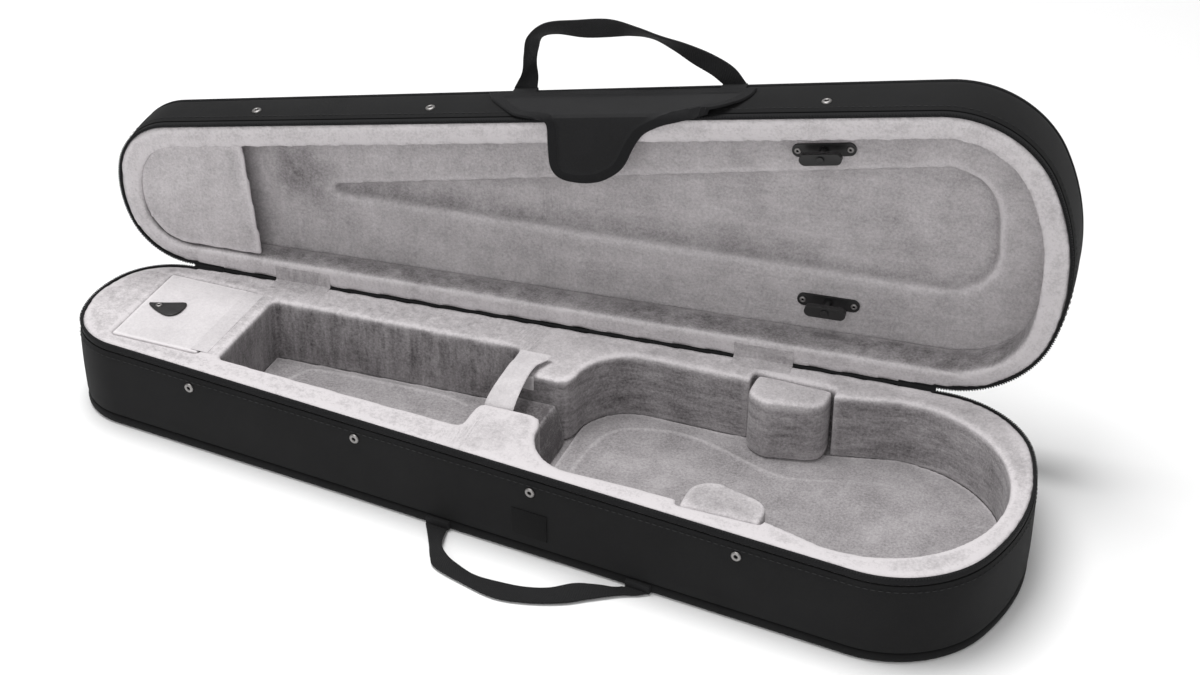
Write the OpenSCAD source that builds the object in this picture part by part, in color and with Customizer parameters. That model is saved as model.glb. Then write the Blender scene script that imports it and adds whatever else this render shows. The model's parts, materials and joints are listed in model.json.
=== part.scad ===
// Shaped violin case: a padded clamshell with a hinged lid, fitted lining, accessory box,
// neck strap, bow holders, two carrying handles, closure flap and rim zip.
// Frame: X along the case (scroll end -X, body end +X), Y from the handle side to the hinge side, Z up.
// Origin: centre of the underside. The lid is drawn closed and then swung open about the hinge line.

/* [Outer shell] */
// Overall length of the shell
case_l = 785; // [640:1:960]
// Half width at the scroll end
scroll_half_w = 67; // [54:0.5:82]
// Half width at the body end
body_half_w = 122; // [100:0.5:148]
// Corner radius in plan at the scroll end
scroll_corner_r = 56; // [40:0.5:62]
// Radius of the scroll end's face in plan
scroll_face_r = 92; // [84:0.5:120]
// Corner radius in plan at the body end
body_corner_r = 86; // [60:0.5:98]
// Radius of the body end's face in plan
body_face_r = 184; // [160:0.5:230]
// Height of the base, floor to rim
base_h = 76.4; // [62:0.2:92]
// Depth of the lid at mid length
lid_h = 50.8; // [42:0.2:62]
// How much deeper the lid is at the body end than at the scroll end
lid_rise = 13.2; // [0:0.2:20]
// Angle the lid stands open at rest
lid_open_deg = 88; // [0:1:100]

/* [Cover] */
// Thickness of the woven cover on the walls
cover_t = 2; // [1.5:0.1:3]
// Height of the bottom board's edge band
bottom_band_h = 8; // [6:0.5:12]
// Height of each zip tape band
tape_h = 5.5; // [4:0.5:8]
// Height of the piping round the lid's top
piping_h = 4; // [3:0.5:6]
// Height of the woven hinge strip on each half
spine_h = 26; // [15:1:35]

/* [Base lining] */
// Top of the base's foam floor
floor_z = 18; // [14:0.5:24]
// Thickness of the plush floor pads
pad_t = 3; // [2:0.5:6]
// Thickness of the lining beside the lower bout, where the shell is widest
bout_wall_t = 24; // [20:0.5:38]
// How much less the upper bout well reaches to each side than the lower bout well
upper_bout_step = 16; // [13:0.5:30]
// Corner radius of the upper bout well
upper_bout_corner_r = 45; // [30:0.5:55]
// Where the body well starts
body_well_x = 22; // [10:0.5:40]
// Half width of the neck well at the accessory box
neck_half_w_a = 46; // [34:0.5:50]
// Half width of the neck well at the cradle
neck_half_w_b = 58; // [44:0.5:62]
// Where the neck well starts
neck_well_x = -250; // [-270:1:-230]
// Width of the gap between the two neck cradles
cradle_gap = 49; // [40:0.5:60]
// Length of the neck cradles along the case
cradle_l = 55; // [45:1:70]
// Height of the pad the neck lies on
neck_pad_h = 36; // [25:0.5:40]

/* [Accessory box] */
// Length of the accessory lid
acc_lid_l = 78; // [60:0.5:84]
// Width of the accessory lid
acc_lid_w = 97; // [80:0.5:102]
// Thickness of the accessory lid
acc_lid_t = 4.5; // [3:0.5:6]
// Width of the partition between the accessory box and the neck well
partition_t = 19; // [12:0.5:24]

/* [Lid lining] */
// Thickness of the lid's foam wall
lid_wall_t = 17.5; // [14:0.5:22]
// Thickness of the lid's top panel
lid_panel_t = 21; // [17:0.5:26]
// Depth of the fan recess in the lid panel
fan_depth = 9; // [5:0.5:13]
// Width of the bow tip pocket's panel at its free edge
pocket_edge_x = -274; // [-290:1:-240]
// Thickness of the bow tip pocket's panel
pocket_t = 4; // [3:0.5:6]
// How far the pocket's panel lies inside the lid's rim, clear of the leather pull
pocket_in = 3; // [2.6:0.2:5]

/* [Handles and hardware] */
// Width of the handle webbing
web_w = 20; // [16:0.5:26]
// Thickness of the handle webbing
web_t = 2.6; // [2:0.1:4]
// Distance between the handle's two anchors
handle_span = 170; // [130:1:200]
// Reach of each handle from the case
handle_reach = 42; // [34:1:56]
// Length of the flap's tongue
tongue_l = 46; // [34:1:52]
// Diameter of the rivet heads
rivet_d = 9; // [7:0.5:12]
// Length of a bow spinner
spinner_l = 33; // [26:0.5:38]
// Height of a bow spinner's post
post_h = 12; // [8:0.5:15]

/* [Hidden] */
slack = 0.3;
well_shift = -3;
half_gap = 0.4;
pin_gap = 0.06;
big = 1000;
wall_line_deg = atan2(t2y() - t1y(), t2x() - t1x());
side_y = t1y() - t1x() * tan(wall_line_deg);
tilt_deg = atan2(lid_rise, case_l);
top_z = base_h + lid_h;
rim_z = base_h - half_gap;
lid_rim_z = base_h + half_gap;
shell_in = cover_t + slack;
tape_in = 1.2;
tape_t = 3;
tape_foam_in = tape_in + tape_t + slack;
bout_r = body_half_w - bout_wall_t;
upper_bout_half_w = bout_r - upper_bout_step;
spine_x0 = t1x() / cos(wall_line_deg) + 29;
spine_x1 = t2x() / cos(wall_line_deg) - 33;
handle_x = 45;
rivet_x = [-264, -112, 40, 207];
rivet_drop = 17;
rivet_proud = 2;
acc_hinge_x = neck_well_x - partition_t;
acc_x0 = acc_hinge_x - acc_lid_l;
acc_ledge = 3;
cradle_x0 = body_well_x - cradle_l;
neck_pad_top = floor_z + neck_pad_h;
strap_w = 24;
strap_t = 1.4;
strap_l = 68;
strap_pin_y = well_shift - cradle_gap / 2 + 3.3;
strap_pin_z = rim_z - 6;
strap_deg = 8.5;
strap_x = -19;
panel_z = top_z - lid_panel_t;
bow_x = [200, 198.5];
bow_y = [-67, 70.5];
bow_deg = [-5, 5];
spinner_w = 9.5;
spinner_t = 5;
post_r = 3.2;
plate_l = 50;
plate_w = 11;
plate_t = 1.8;
flap_t = 1.8;
flap_edge = 2.2;
tongue_pin_z = 1;
flap_x = 42;
tongue_w = 70;
patch_l = 30;
patch_h = 24;
patch_x = 39;
patch_z = 29.5;

// centres of the four corner arcs and the points where straight and arc meet
function th1() = asin((scroll_half_w - scroll_corner_r) / (scroll_face_r - scroll_corner_r));
function th2() = asin((body_half_w - body_corner_r) / (body_face_r - body_corner_r));
function f1x() = -case_l / 2 + scroll_face_r;
function f2x() = case_l / 2 - body_face_r;
function c1x() = f1x() - (scroll_face_r - scroll_corner_r) * cos(th1());
function c2x() = f2x() + (body_face_r - body_corner_r) * cos(th2());
function c1y() = scroll_half_w - scroll_corner_r;
function c2y() = body_half_w - body_corner_r;
// direction of the straight side's normal, from the two corner circles
function nrm() = atan2(c2y() - c1y(), c2x() - c1x())
    + acos((scroll_corner_r - body_corner_r) / norm([c2x() - c1x(), c2y() - c1y()]));
function t1x() = c1x() + scroll_corner_r * cos(nrm());
function t1y() = c1y() + scroll_corner_r * sin(nrm());
function t2x() = c2x() + body_corner_r * cos(nrm());
function t2y() = c2y() + body_corner_r * sin(nrm());

// a point's mirror image across the case's long axis
function flip(p) = [p[0], -p[1]];
// a point at radius r and angle a from centre c
function polar(c, r, a) = [c[0] + r * cos(a), c[1] + r * sin(a)];
// n points of an arc, its first point left out
function arc_to(c, r, a0, a1, n) = [for (i = [1 : n]) polar(c, r, a0 + (a1 - a0) * i / n)];
// a half outline closed by its own mirror image; its ends lie on the long axis
function mirrored(u) = concat(u, [for (i = [len(u) - 2 : -1 : 1]) flip(u[i])]);

// plan of the shell, drawn in by d all round
function shell_pts(d) = mirrored(concat(
  [[f2x() + body_face_r - d, 0]],
  arc_to([f2x(), 0], body_face_r - d, 0, th2(), 5),
  arc_to([c2x(), c2y()], body_corner_r - d, th2(), nrm(), 16),
  [polar([c1x(), c1y()], scroll_corner_r - d, nrm())],
  arc_to([c1x(), c1y()], scroll_corner_r - d, nrm(), 180 - th1(), 13),
  arc_to([f1x(), 0], scroll_face_r - d, 180 - th1(), 180, 4)));

module shell_plan(d = 0) {
  polygon(shell_pts(d));
}

module shell_ring(z0, z1, d0, d1) {
  translate([0, 0, z0]) linear_extrude(z1 - z0) difference() {
    shell_plan(d0);
    shell_plan(d1);
  }
}

// places its children on the straight hinge wall: X along the wall, Y outward
module on_back() {
  translate([0, side_y, 0]) rotate([0, 0, wall_line_deg]) children();
}

// places its children on the straight handle wall: X along the wall, -Y outward
module on_front() {
  translate([0, -side_y, 0]) rotate([0, 0, -wall_line_deg]) children();
}

// swings lid pieces from closed to the angle the lid stands at
module opened() {
  translate([0, side_y, base_h]) rotate([0, 0, wall_line_deg]) rotate([-lid_open_deg, 0, 0])
    rotate([0, 0, -wall_line_deg]) translate([0, -side_y, -base_h]) children();
}

// slopes a slab so its plane rises toward the body end; z is its height at mid length
module sloped(z) {
  translate([0, 0, z]) rotate([0, -tilt_deg, 0]) children();
}

// everything above the sloped plane at height z
module above(z) {
  sloped(z) translate([-big / 2, -big / 2, 0]) cube([big, big, 200]);
}

// the stretch of the back wall that carries the woven hinge strip
module spine_zone(z0, z1) {
  on_back() translate([spine_x0, -8, z0]) cube([spine_x1 - spine_x0, 20, z1 - z0]);
}

// the violin's well in plan: lower bout, upper bout, gap between the cradles, neck
function violin_pts() =
  let(ub = upper_bout_half_w, g = cradle_gap / 2, ur = min(upper_bout_corner_r, ub - g - 12))
  mirrored(concat(
    [[case_l / 2 - 17.5, 0]],
    arc_to([case_l / 2 - 17.5 - bout_r, 0], bout_r, 0, 97, 24),
    [[214, ub + 2], [body_well_x + ur, ub]],
    arc_to([body_well_x + ur, ub - ur], ur, 90, 180, 10),
    [[body_well_x - 1, g + 9], [body_well_x - 4, g + 3], [body_well_x - 11, g],
     [cradle_x0 + 6, g], [cradle_x0 + 1.5, g + 1.8], [cradle_x0, g + 6],
     [cradle_x0 - 1, neck_half_w_b], [neck_well_x, neck_half_w_a], [neck_well_x, 0]]));

module violin_plan() {
  translate([0, well_shift]) polygon(violin_pts());
}

// bout block in plan for the back side: two round ends joined by straight sides
block_a = [167, bout_r - 27];
block_ra = 14.5;
block_b = [200, bout_r - 20];
block_rb = 15;
function block_dir() = atan2(block_b[1] - block_a[1], block_b[0] - block_a[0])
  - acos((block_ra - block_rb) / norm(block_b - block_a));
module block_plan(d, far) {
  polygon(concat([[block_a[0] - block_ra - d, far], polar(block_a, block_ra + d, -180)],
    arc_to(block_a, block_ra + d, -180, block_dir(), 10), [polar(block_b, block_rb + d, block_dir())],
    arc_to(block_b, block_rb + d, block_dir(), 0, 8), [[block_b[0] + block_rb + d, far]]));
}

// fan recess in plan: narrow at the scroll end, round corners at the body end
fan_r = 40;
fan_x = 292;
fan_w = 14;
fan_pts = mirrored(concat([[fan_x + fan_r, 0], [fan_x + fan_r, fan_w]],
  arc_to([fan_x, fan_w], fan_r, 0, 95.8, 12), [[-206, 4], [-214, 0]]));

// unit normal of stretch i of a bent line, and the line moved sideways by w with mitred bends
function bend_n(p, i) = let(v = p[i + 1] - p[i]) [-v[1], v[0]] / norm(v);
function beside(p, w) = [for (i = [0 : len(p) - 1])
  let(a = bend_n(p, max(i - 1, 0)), b = bend_n(p, min(i, len(p) - 2))) p[i] + w * (a + b) / (1 + a * b)];

// flat webbing bent along points in its own plane
module webbing(p) {
  low = beside(p, -web_w / 2);
  linear_extrude(web_t) polygon(concat(beside(p, web_w / 2), [for (i = [len(p) - 1 : -1 : 0]) low[i]]));
}

// one low rivet head standing out of a wall, local -Y outward
module rivet(d, proud) {
  rotate([90, 0, 0]) {
    cylinder(d = d, h = proud * 0.6, $fn = 32);
    translate([0, 0, proud * 0.6]) cylinder(d1 = d, d2 = d * 0.6, h = proud * 0.4, $fn = 32);
  }
}

// ---- base shell ----
module base_bottom_panel() {
  color("#202020") linear_extrude(bottom_band_h) shell_plan(1.2);
}

module base_side_cover() {
  color("#242424") difference() {
    shell_ring(bottom_band_h + 1, rim_z - tape_h - 1, 0, cover_t);
    spine_zone(rim_z - spine_h, rim_z + 1);
  }
}

module base_zip_tape() {
  color("#1a1a1a") difference() {
    shell_ring(rim_z - tape_h, rim_z, tape_in, tape_in + tape_t);
    spine_zone(rim_z - tape_h - 1, rim_z + 1);
  }
}

module spine_strip_base() {
  color("#1e1e1e") intersection() {
    shell_ring(rim_z - spine_h + 0.4, rim_z, 0, cover_t);
    on_back() translate([spine_x0 + slack, -8, 0]) cube([spine_x1 - spine_x0 - 2 * slack, 20, rim_z + 1]);
  }
}

module base_floor_foam() {
  color("#b8b4b6") translate([0, 0, bottom_band_h]) linear_extrude(floor_z - bottom_band_h)
    shell_plan(shell_in);
}

module base_wall_foam() {
  color("#b8b4b6") difference() {
    translate([0, 0, floor_z]) linear_extrude(rim_z - floor_z) shell_plan(shell_in);
    translate([0, 0, rim_z - tape_h - slack]) linear_extrude(tape_h + 2) difference() {
      shell_plan(shell_in - 1);
      shell_plan(tape_foam_in);
    }
    translate([0, 0, floor_z - 1]) linear_extrude(rim_z) {
      violin_plan();
      for (s = [0, 1]) mirror([0, s, 0]) block_plan(2.5, bout_r - 5);
      translate([acc_x0 + acc_ledge, -acc_lid_w / 2 + acc_ledge])
        square([acc_lid_l - acc_ledge - 1, acc_lid_w - 2 * acc_ledge]);
    }
    translate([acc_x0 - 0.8, -acc_lid_w / 2 - 0.8, rim_z - acc_lid_t - 0.8])
      cube([acc_lid_l + 1.4, acc_lid_w + 1.6, acc_lid_t + 2]);
  }
}

module body_floor_pad() {
  color("#a8a4a6") translate([0, 0, floor_z]) linear_extrude(pad_t) intersection() {
    violin_plan();
    translate([body_well_x + 0.5, -200]) square([400, 400]);
  }
}

module neck_floor_pad() {
  color("#a8a4a6") translate([0, well_shift, floor_z]) linear_extrude(pad_t)
    polygon([[neck_well_x + slack, neck_half_w_a - slack], [cradle_x0 - 1 - slack, neck_half_w_b - slack],
             [cradle_x0 - 1 - slack, slack - neck_half_w_b], [neck_well_x + slack, slack - neck_half_w_a]]);
}

module neck_rest_pad() {
  color("#a8a4a6") translate([cradle_x0, well_shift - cradle_gap / 2 + slack, floor_z])
    cube([cradle_l, cradle_gap - 2 * slack, neck_pad_h]);
}

module back_bout_block() {
  color("#c4c0c2") translate([0, 0, floor_z + pad_t]) linear_extrude(rim_z - floor_z - pad_t - 1)
    block_plan(0, bout_r - 5.5);
}

module front_bout_block() {
  color("#c4c0c2") translate([0, 0, floor_z + pad_t]) linear_extrude(rim_z - floor_z - pad_t - 1)
    mirror([0, 1, 0]) block_plan(0, bout_r - 5.5);
}

module accessory_floor_pad() {
  color("#a8a4a6") translate([acc_x0 + acc_ledge + slack, -acc_lid_w / 2 + acc_ledge + slack, floor_z])
    cube([acc_lid_l - acc_ledge - 1 - 2 * slack, acc_lid_w - 2 * acc_ledge - 2 * slack, pad_t]);
}

// two short lining tabs that bridge the rims at the hinge line
module lining_tabs() {
  color("#b8b4b6") on_back() for (x = [-240, 152])
    translate([x - 24, -13, rim_z]) cube([48, 12.5, 0.3]);
}

// ---- accessory lid, its leather pull and the neck strap ----
module accessory_lid() {
  color("#e4e0e2") translate([acc_x0, -acc_lid_w / 2, rim_z - acc_lid_t])
    cube([acc_lid_l - 0.4, acc_lid_w, acc_lid_t]);
}

module accessory_lid_hinge() {
  color("#d8d4d6") translate([acc_hinge_x + 0.7, -acc_lid_w / 2 + 6, rim_z])
    cube([7, acc_lid_w - 12, 0.5]);
}

pull_x = -331;
pull_y = -1.5;
module pull_tab() {
  color("#161616") translate([pull_x, pull_y, rim_z + slack]) difference() {
    translate([7, 5, 0]) rotate([0, 0, 11]) linear_extrude(1.6) intersection() {
      circle(15.5, $fn = 64);
      translate([-20, -40]) square([40, 40]);
    }
    translate([0, 0, -1]) cylinder(r = 2 + pin_gap, h = 4, $fn = 32);
  }
}

module pull_rivet() {
  color("#b0b0b4") translate([pull_x, pull_y, rim_z]) {
    cylinder(r = 2, h = 2.1, $fn = 32);
    translate([0, 0, 2.1]) cylinder(r1 = 3.6, r2 = 2.6, h = 1, $fn = 32);
  }
}

module neck_strap() {
  color("#d4d0d2") translate([strap_x - strap_w / 2, strap_pin_y, strap_pin_z]) rotate([strap_deg, 0, 0])
    cube([strap_w, strap_l, strap_t]);
}

module neck_strap_root() {
  color("#c8c4c6") translate([strap_x - strap_w / 2, strap_pin_y - 3, neck_pad_top + 2])
    cube([strap_w, 2.2, strap_pin_z - neck_pad_top - 2.2]);
}

module neck_strap_keeper() {
  keeper_h = 0.6 * (rim_z - neck_pad_top);
  color("#c8c4c6") translate([strap_x - strap_w / 2 + 1, well_shift + cradle_gap / 2 - 2.1, rim_z - 0.4 - keeper_h])
    cube([strap_w - 2, 1.8, keeper_h]);
}

// ---- lid, drawn closed ----
module lid_side_cover() {
  color("#242424") opened() difference() {
    shell_ring(lid_rim_z + tape_h + 1, base_h + 80, 0, cover_t);
    above(top_z - piping_h - 0.4);
    spine_zone(lid_rim_z - 1, lid_rim_z + spine_h);
  }
}

module lid_zip_tape() {
  color("#1a1a1a") opened() difference() {
    shell_ring(lid_rim_z, lid_rim_z + tape_h, tape_in, tape_in + tape_t);
    spine_zone(lid_rim_z - 1, lid_rim_z + tape_h + 1);
  }
}

module spine_strip_lid() {
  color("#1e1e1e") opened() intersection() {
    shell_ring(lid_rim_z, lid_rim_z + spine_h - 0.4, 0, cover_t);
    on_back() translate([spine_x0 + slack, -8, 0]) cube([spine_x1 - spine_x0 - 2 * slack, 20, base_h + 80]);
  }
}

module lid_piping() {
  color("#161616") opened() sloped(top_z - piping_h) linear_extrude(piping_h) difference() {
    shell_plan(0.2);
    shell_plan(3.2);
  }
}

module lid_top_cover() {
  color("#262626") opened() sloped(top_z - 1.8) linear_extrude(1.5) shell_plan(3.5);
}

module lid_panel_foam() {
  color("#b8b4b6") opened() difference() {
    sloped(panel_z) linear_extrude(lid_panel_t - 2) shell_plan(3.5);
    sloped(panel_z - 1) linear_extrude(fan_depth + 1) translate([0, -2]) polygon(fan_pts);
  }
}

module lid_wall_foam() {
  color("#c4c0c2") opened() difference() {
    translate([0, 0, lid_rim_z]) linear_extrude(80) difference() {
      shell_plan(shell_in);
      shell_plan(lid_wall_t);
    }
    translate([0, 0, lid_rim_z - 1]) linear_extrude(tape_h + 1 + slack) difference() {
      shell_plan(shell_in - 1);
      shell_plan(tape_foam_in);
    }
    above(panel_z);
  }
}

module lid_pocket_panel() {
  color("#c4c0c2") opened() translate([0, 0, lid_rim_z + pocket_in]) linear_extrude(pocket_t) intersection() {
    shell_plan(lid_wall_t + slack);
    translate([-500, -200]) square([500 + pocket_edge_x, 400]);
  }
}

// places its children at bow holder i on the lid panel, local -Z out of the panel
module at_holder(i) {
  opened() translate([bow_x[i], bow_y[i], panel_z + bow_x[i] * tan(tilt_deg) - 0.05])
    rotate([0, -tilt_deg, 0]) rotate([0, 0, bow_deg[i]]) children();
}

module holder_plates() {
  color("#303030") for (i = [0, 1]) at_holder(i) difference() {
    union() {
      translate([-plate_l / 2 + plate_w / 2, -plate_w / 2, -plate_t])
        cube([plate_l - plate_w, plate_w, plate_t]);
      for (s = [-1, 1]) translate([s * (plate_l - plate_w) / 2, 0, -plate_t])
        cylinder(d = plate_w, h = plate_t, $fn = 40);
    }
    translate([0, 0, -plate_t - 1]) cylinder(r = post_r, h = plate_t + 2, $fn = 40);
  }
}

module holder_posts() {
  color("#303030") for (i = [0, 1]) at_holder(i) {
    translate([0, 0, -post_h]) cylinder(r = post_r, h = post_h, $fn = 40);
    translate([0, 0, -post_h - spinner_t - 0.6]) cylinder(r = 2, h = spinner_t + 1, $fn = 32);
    translate([0, 0, -post_h - spinner_t - 1.6]) cylinder(r = 3, h = 1, $fn = 32);
  }
}

module holder_screws() {
  color("#8a8a8e") for (i = [0, 1]) at_holder(i) for (s = [-1, 1])
    translate([s * 20.5, 0, -plate_t - 1]) cylinder(r1 = 1.8, r2 = 2.8, h = 1, $fn = 24);
}

module spinner(i) {
  at_holder(i) translate([0, 0, -post_h - spinner_t - slack]) difference() {
    union() {
      translate([-(spinner_l - spinner_w) / 2, -spinner_w / 2, 0])
        cube([spinner_l - spinner_w, spinner_w, spinner_t]);
      for (s = [-1, 1]) translate([s * (spinner_l - spinner_w) / 2, 0, 0])
        cylinder(d = spinner_w, h = spinner_t, $fn = 48);
    }
    translate([0, 0, -1]) cylinder(r = 2 + pin_gap, h = spinner_t + 2, $fn = 32);
  }
}

module spinner_upper() {
  color("#242424") spinner(0);
}

module spinner_lower() {
  color("#242424") spinner(1);
}

module lid_rivets() {
  color("#b4b4b8") opened() on_front() for (x = rivet_x)
    if (x != rivet_x[2]) translate([x, 0, base_h + rivet_drop + 3]) rivet(rivet_d, rivet_proud);
}

// ---- closure flap on the lid's front, and its tongue ----
module flap_root() {
  color("#2a2a2a") opened() on_front() translate([flap_x, -slack, 0]) rotate([90, 0, 0])
    linear_extrude(flap_t) translate([0, base_h]) polygon([[-104, 40], [-111, 36], [-97, 20],
      [-76, flap_edge], [80, flap_edge], [95, 12], [106, 34], [104, 40]]);
}

// tongue's pin line: just outside the lid's front rim edge
module at_tongue() {
  opened() on_front() translate([flap_x, -slack - flap_t / 2, base_h + tongue_pin_z]) children();
}

// it hangs flat across the lid's opening while the lid stands open
tongue_pts = concat([[-tongue_w / 2, 0], [-tongue_w / 2, tongue_l - 16]],
  arc_to([-tongue_w / 2 + 16, tongue_l - 16], 16, 180, 90, 6),
  arc_to([tongue_w / 2 - 25, tongue_l - 18], 18, 90, 30, 5),
  [[tongue_w / 2 + 4, 6], [tongue_w / 2 + 5, 0]]);
module flap_tongue() {
  color("#2a2a2a") at_tongue() translate([0, 0, -0.9 - flap_t]) linear_extrude(flap_t)
    polygon(tongue_pts);
}

// ---- handles ----
handle_pts = [[-handle_span / 2, 0], [-handle_span / 2, -8], [-handle_span / 2 + 5, -handle_reach + 14],
              [-handle_span / 2 + 18, -handle_reach + 2], [handle_span / 2 - 56, -handle_reach - 2],
              [handle_span / 2 - 44, -handle_reach + 4], [handle_span / 2, -11], [handle_span / 2, 0]];

// handle's pin line stands this far out from the wall, its loop runs flat from there
handle_pin = 4.6;
module handle_loop() {
  translate([handle_x, -handle_pin, -web_t / 2]) webbing(handle_pts);
  for (s = [-1, 1]) translate([handle_x + s * handle_span / 2 - web_w / 2 + 0.5, -handle_pin, 0])
    rotate([0, 90, 0]) cylinder(d = web_t - 0.2, h = web_w - 1, $fn = 32);
}

// sewn end of the webbing, flat on the wall behind the pin line
module handle_seat(y, z0, h) {
  for (s = [-1, 1]) translate([handle_x + s * handle_span / 2 - web_w / 2, -handle_pin + 1.7, z0])
    cube([web_w, y + handle_pin - 1.7, h]);
}

module base_handle() {
  color("#1c1c1c") on_front() translate([0, 0, slack + web_t / 2]) handle_loop();
}

module base_handle_anchors() {
  color("#1c1c1c") on_front() handle_seat(0.9, 0.6, 7);
}

module lid_handle() {
  color("#1c1c1c") opened() on_front() translate([0, 0, top_z - 3.7]) handle_loop();
}

module lid_handle_anchors() {
  color("#1c1c1c") opened() on_front() handle_seat(-slack, top_z - 10.5, 8);
}

// ---- trim on the base's front ----
module base_rivets() {
  color("#b4b4b8") on_front() for (x = rivet_x)
    translate([x, 0, base_h - rivet_drop]) rivet(rivet_d, rivet_proud);
}

module hook_patch() {
  color("#141414") on_front() translate([patch_x - patch_l / 2, -1.4, patch_z - patch_h / 2])
    cube([patch_l, 1.4, patch_h]);
}

// ---- zip sliders parked at the two rear ends of the zip ----
slider_x = [spine_x0 - 6, spine_x1 + 6];
slider_drop = 7.5;
puller_y = 5.1;
module slider(i) {
  on_back() translate([slider_x[i], slack, rim_z - slider_drop]) {
    translate([-4.5, 0, -3]) cube([9, 3.6, 9]);
    for (s = [-1, 1]) translate([s * 3.2 - 0.8, 3.6, -2]) cube([1.6, 2.5, 4]);
  }
}

module zip_sliders() {
  color("#8c8c90") for (i = [0, 1]) slider(i);
}

module puller(i) {
  on_back() translate([slider_x[i], puller_y, rim_z - slider_drop]) {
    translate([-2.2, 0, 0]) rotate([0, 90, 0]) cylinder(r = 0.9, h = 4.4, $fn = 24);
    translate([-2.2, -0.7, -28]) cube([4.4, 1.4, 28]);
  }
}

module zip_puller_scroll() {
  color("#8c8c90") puller(0);
}

module zip_puller_body() {
  color("#8c8c90") puller(1);
}

base_bottom_panel();
base_side_cover();
base_zip_tape();
spine_strip_base();
base_floor_foam();
base_wall_foam();
body_floor_pad();
neck_floor_pad();
neck_rest_pad();
accessory_floor_pad();
back_bout_block();
front_bout_block();
lining_tabs();
accessory_lid_hinge();
accessory_lid();
pull_rivet();
pull_tab();
neck_strap_root();
neck_strap_keeper();
neck_strap();
base_handle_anchors();
base_handle();
base_rivets();
hook_patch();
zip_sliders();
zip_puller_scroll();
zip_puller_body();
lid_side_cover();
lid_zip_tape();
spine_strip_lid();
lid_piping();
lid_top_cover();
lid_panel_foam();
lid_wall_foam();
lid_pocket_panel();
holder_plates();
holder_posts();
holder_screws();
spinner_upper();
spinner_lower();
lid_rivets();
flap_root();
flap_tongue();
lid_handle_anchors();
lid_handle();
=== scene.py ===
import json
import math

import bmesh
import bpy
import numpy as np
from mathutils import Matrix, Vector, geometry


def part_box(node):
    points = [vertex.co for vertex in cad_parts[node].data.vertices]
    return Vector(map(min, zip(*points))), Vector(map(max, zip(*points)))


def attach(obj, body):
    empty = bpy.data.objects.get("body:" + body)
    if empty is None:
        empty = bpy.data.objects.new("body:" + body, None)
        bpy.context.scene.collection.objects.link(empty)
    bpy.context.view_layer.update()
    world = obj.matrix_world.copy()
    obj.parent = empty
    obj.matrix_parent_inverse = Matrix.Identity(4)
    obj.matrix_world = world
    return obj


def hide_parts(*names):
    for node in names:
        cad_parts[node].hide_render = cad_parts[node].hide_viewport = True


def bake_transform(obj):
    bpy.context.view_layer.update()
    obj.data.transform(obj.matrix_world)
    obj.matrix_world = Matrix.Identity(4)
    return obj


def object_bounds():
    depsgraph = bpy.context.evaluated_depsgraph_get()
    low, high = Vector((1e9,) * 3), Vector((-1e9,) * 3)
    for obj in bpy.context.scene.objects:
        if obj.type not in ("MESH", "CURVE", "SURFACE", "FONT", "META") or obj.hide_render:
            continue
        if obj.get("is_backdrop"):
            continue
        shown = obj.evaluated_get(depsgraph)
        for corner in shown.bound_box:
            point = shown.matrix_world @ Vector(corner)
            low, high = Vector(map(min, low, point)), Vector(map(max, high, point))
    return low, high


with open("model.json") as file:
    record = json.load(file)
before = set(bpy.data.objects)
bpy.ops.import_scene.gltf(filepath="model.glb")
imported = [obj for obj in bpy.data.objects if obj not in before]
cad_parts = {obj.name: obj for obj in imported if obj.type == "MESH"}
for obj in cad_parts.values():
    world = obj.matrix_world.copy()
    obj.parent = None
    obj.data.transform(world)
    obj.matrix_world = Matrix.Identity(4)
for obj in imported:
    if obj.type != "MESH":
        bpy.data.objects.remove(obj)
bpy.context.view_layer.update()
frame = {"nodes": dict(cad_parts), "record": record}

# ---- Studio ----
# A pale floor under the case, one broad soft lamp overhead, a weaker one in front of the case
# and a little light from all round. The camera looks down on the open case from its front.
case_middle = Vector((0, 0, 0.1))


def node(tree, kind, inputs=None, **settings):
    """Adds a shader node; inputs maps a socket to a value or to another node's output."""
    made = tree.nodes.new(kind)
    for key, value in settings.items():
        setattr(made, key, value)
    for key, value in (inputs or {}).items():
        if isinstance(value, bpy.types.NodeSocket):
            tree.links.new(value, made.inputs[key])
        else:
            made.inputs[key].default_value = value
    return made


def new_material(name, **settings):
    """A node material and its Principled shader, whose sockets settings give by name."""
    made = bpy.data.materials.new(name)
    made.use_nodes = True
    shader = made.node_tree.nodes["Principled BSDF"]
    for key, value in settings.items():
        shader.inputs[key.replace("_", " ")].default_value = value
    return made, made.node_tree, shader


def add_lamp(name, place, size, watts):
    """A square soft lamp at place, turned to the middle of the case."""
    lamp = bpy.data.lights.new(name, "AREA")
    lamp.shape, lamp.size, lamp.energy = "SQUARE", size, watts
    made = bpy.data.objects.new(name, lamp)
    made.location = place
    made.rotation_euler = (case_middle - Vector(place)).to_track_quat("-Z", "Y").to_euler()
    bpy.context.collection.objects.link(made)


add_lamp("overhead lamp", (-0.5, 0.1, 2.6), 1.5, 62)
add_lamp("front lamp", (0.2, -2.6, 1.5), 2.2, 26)

world = bpy.data.worlds.new("studio")
world.use_nodes = True
world.node_tree.nodes["Background"].inputs["Color"].default_value = (1, 1, 1, 1)
world.node_tree.nodes["Background"].inputs["Strength"].default_value = 0.42
bpy.context.scene.world = world
bpy.context.scene.view_settings.view_transform = "Standard"

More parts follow.
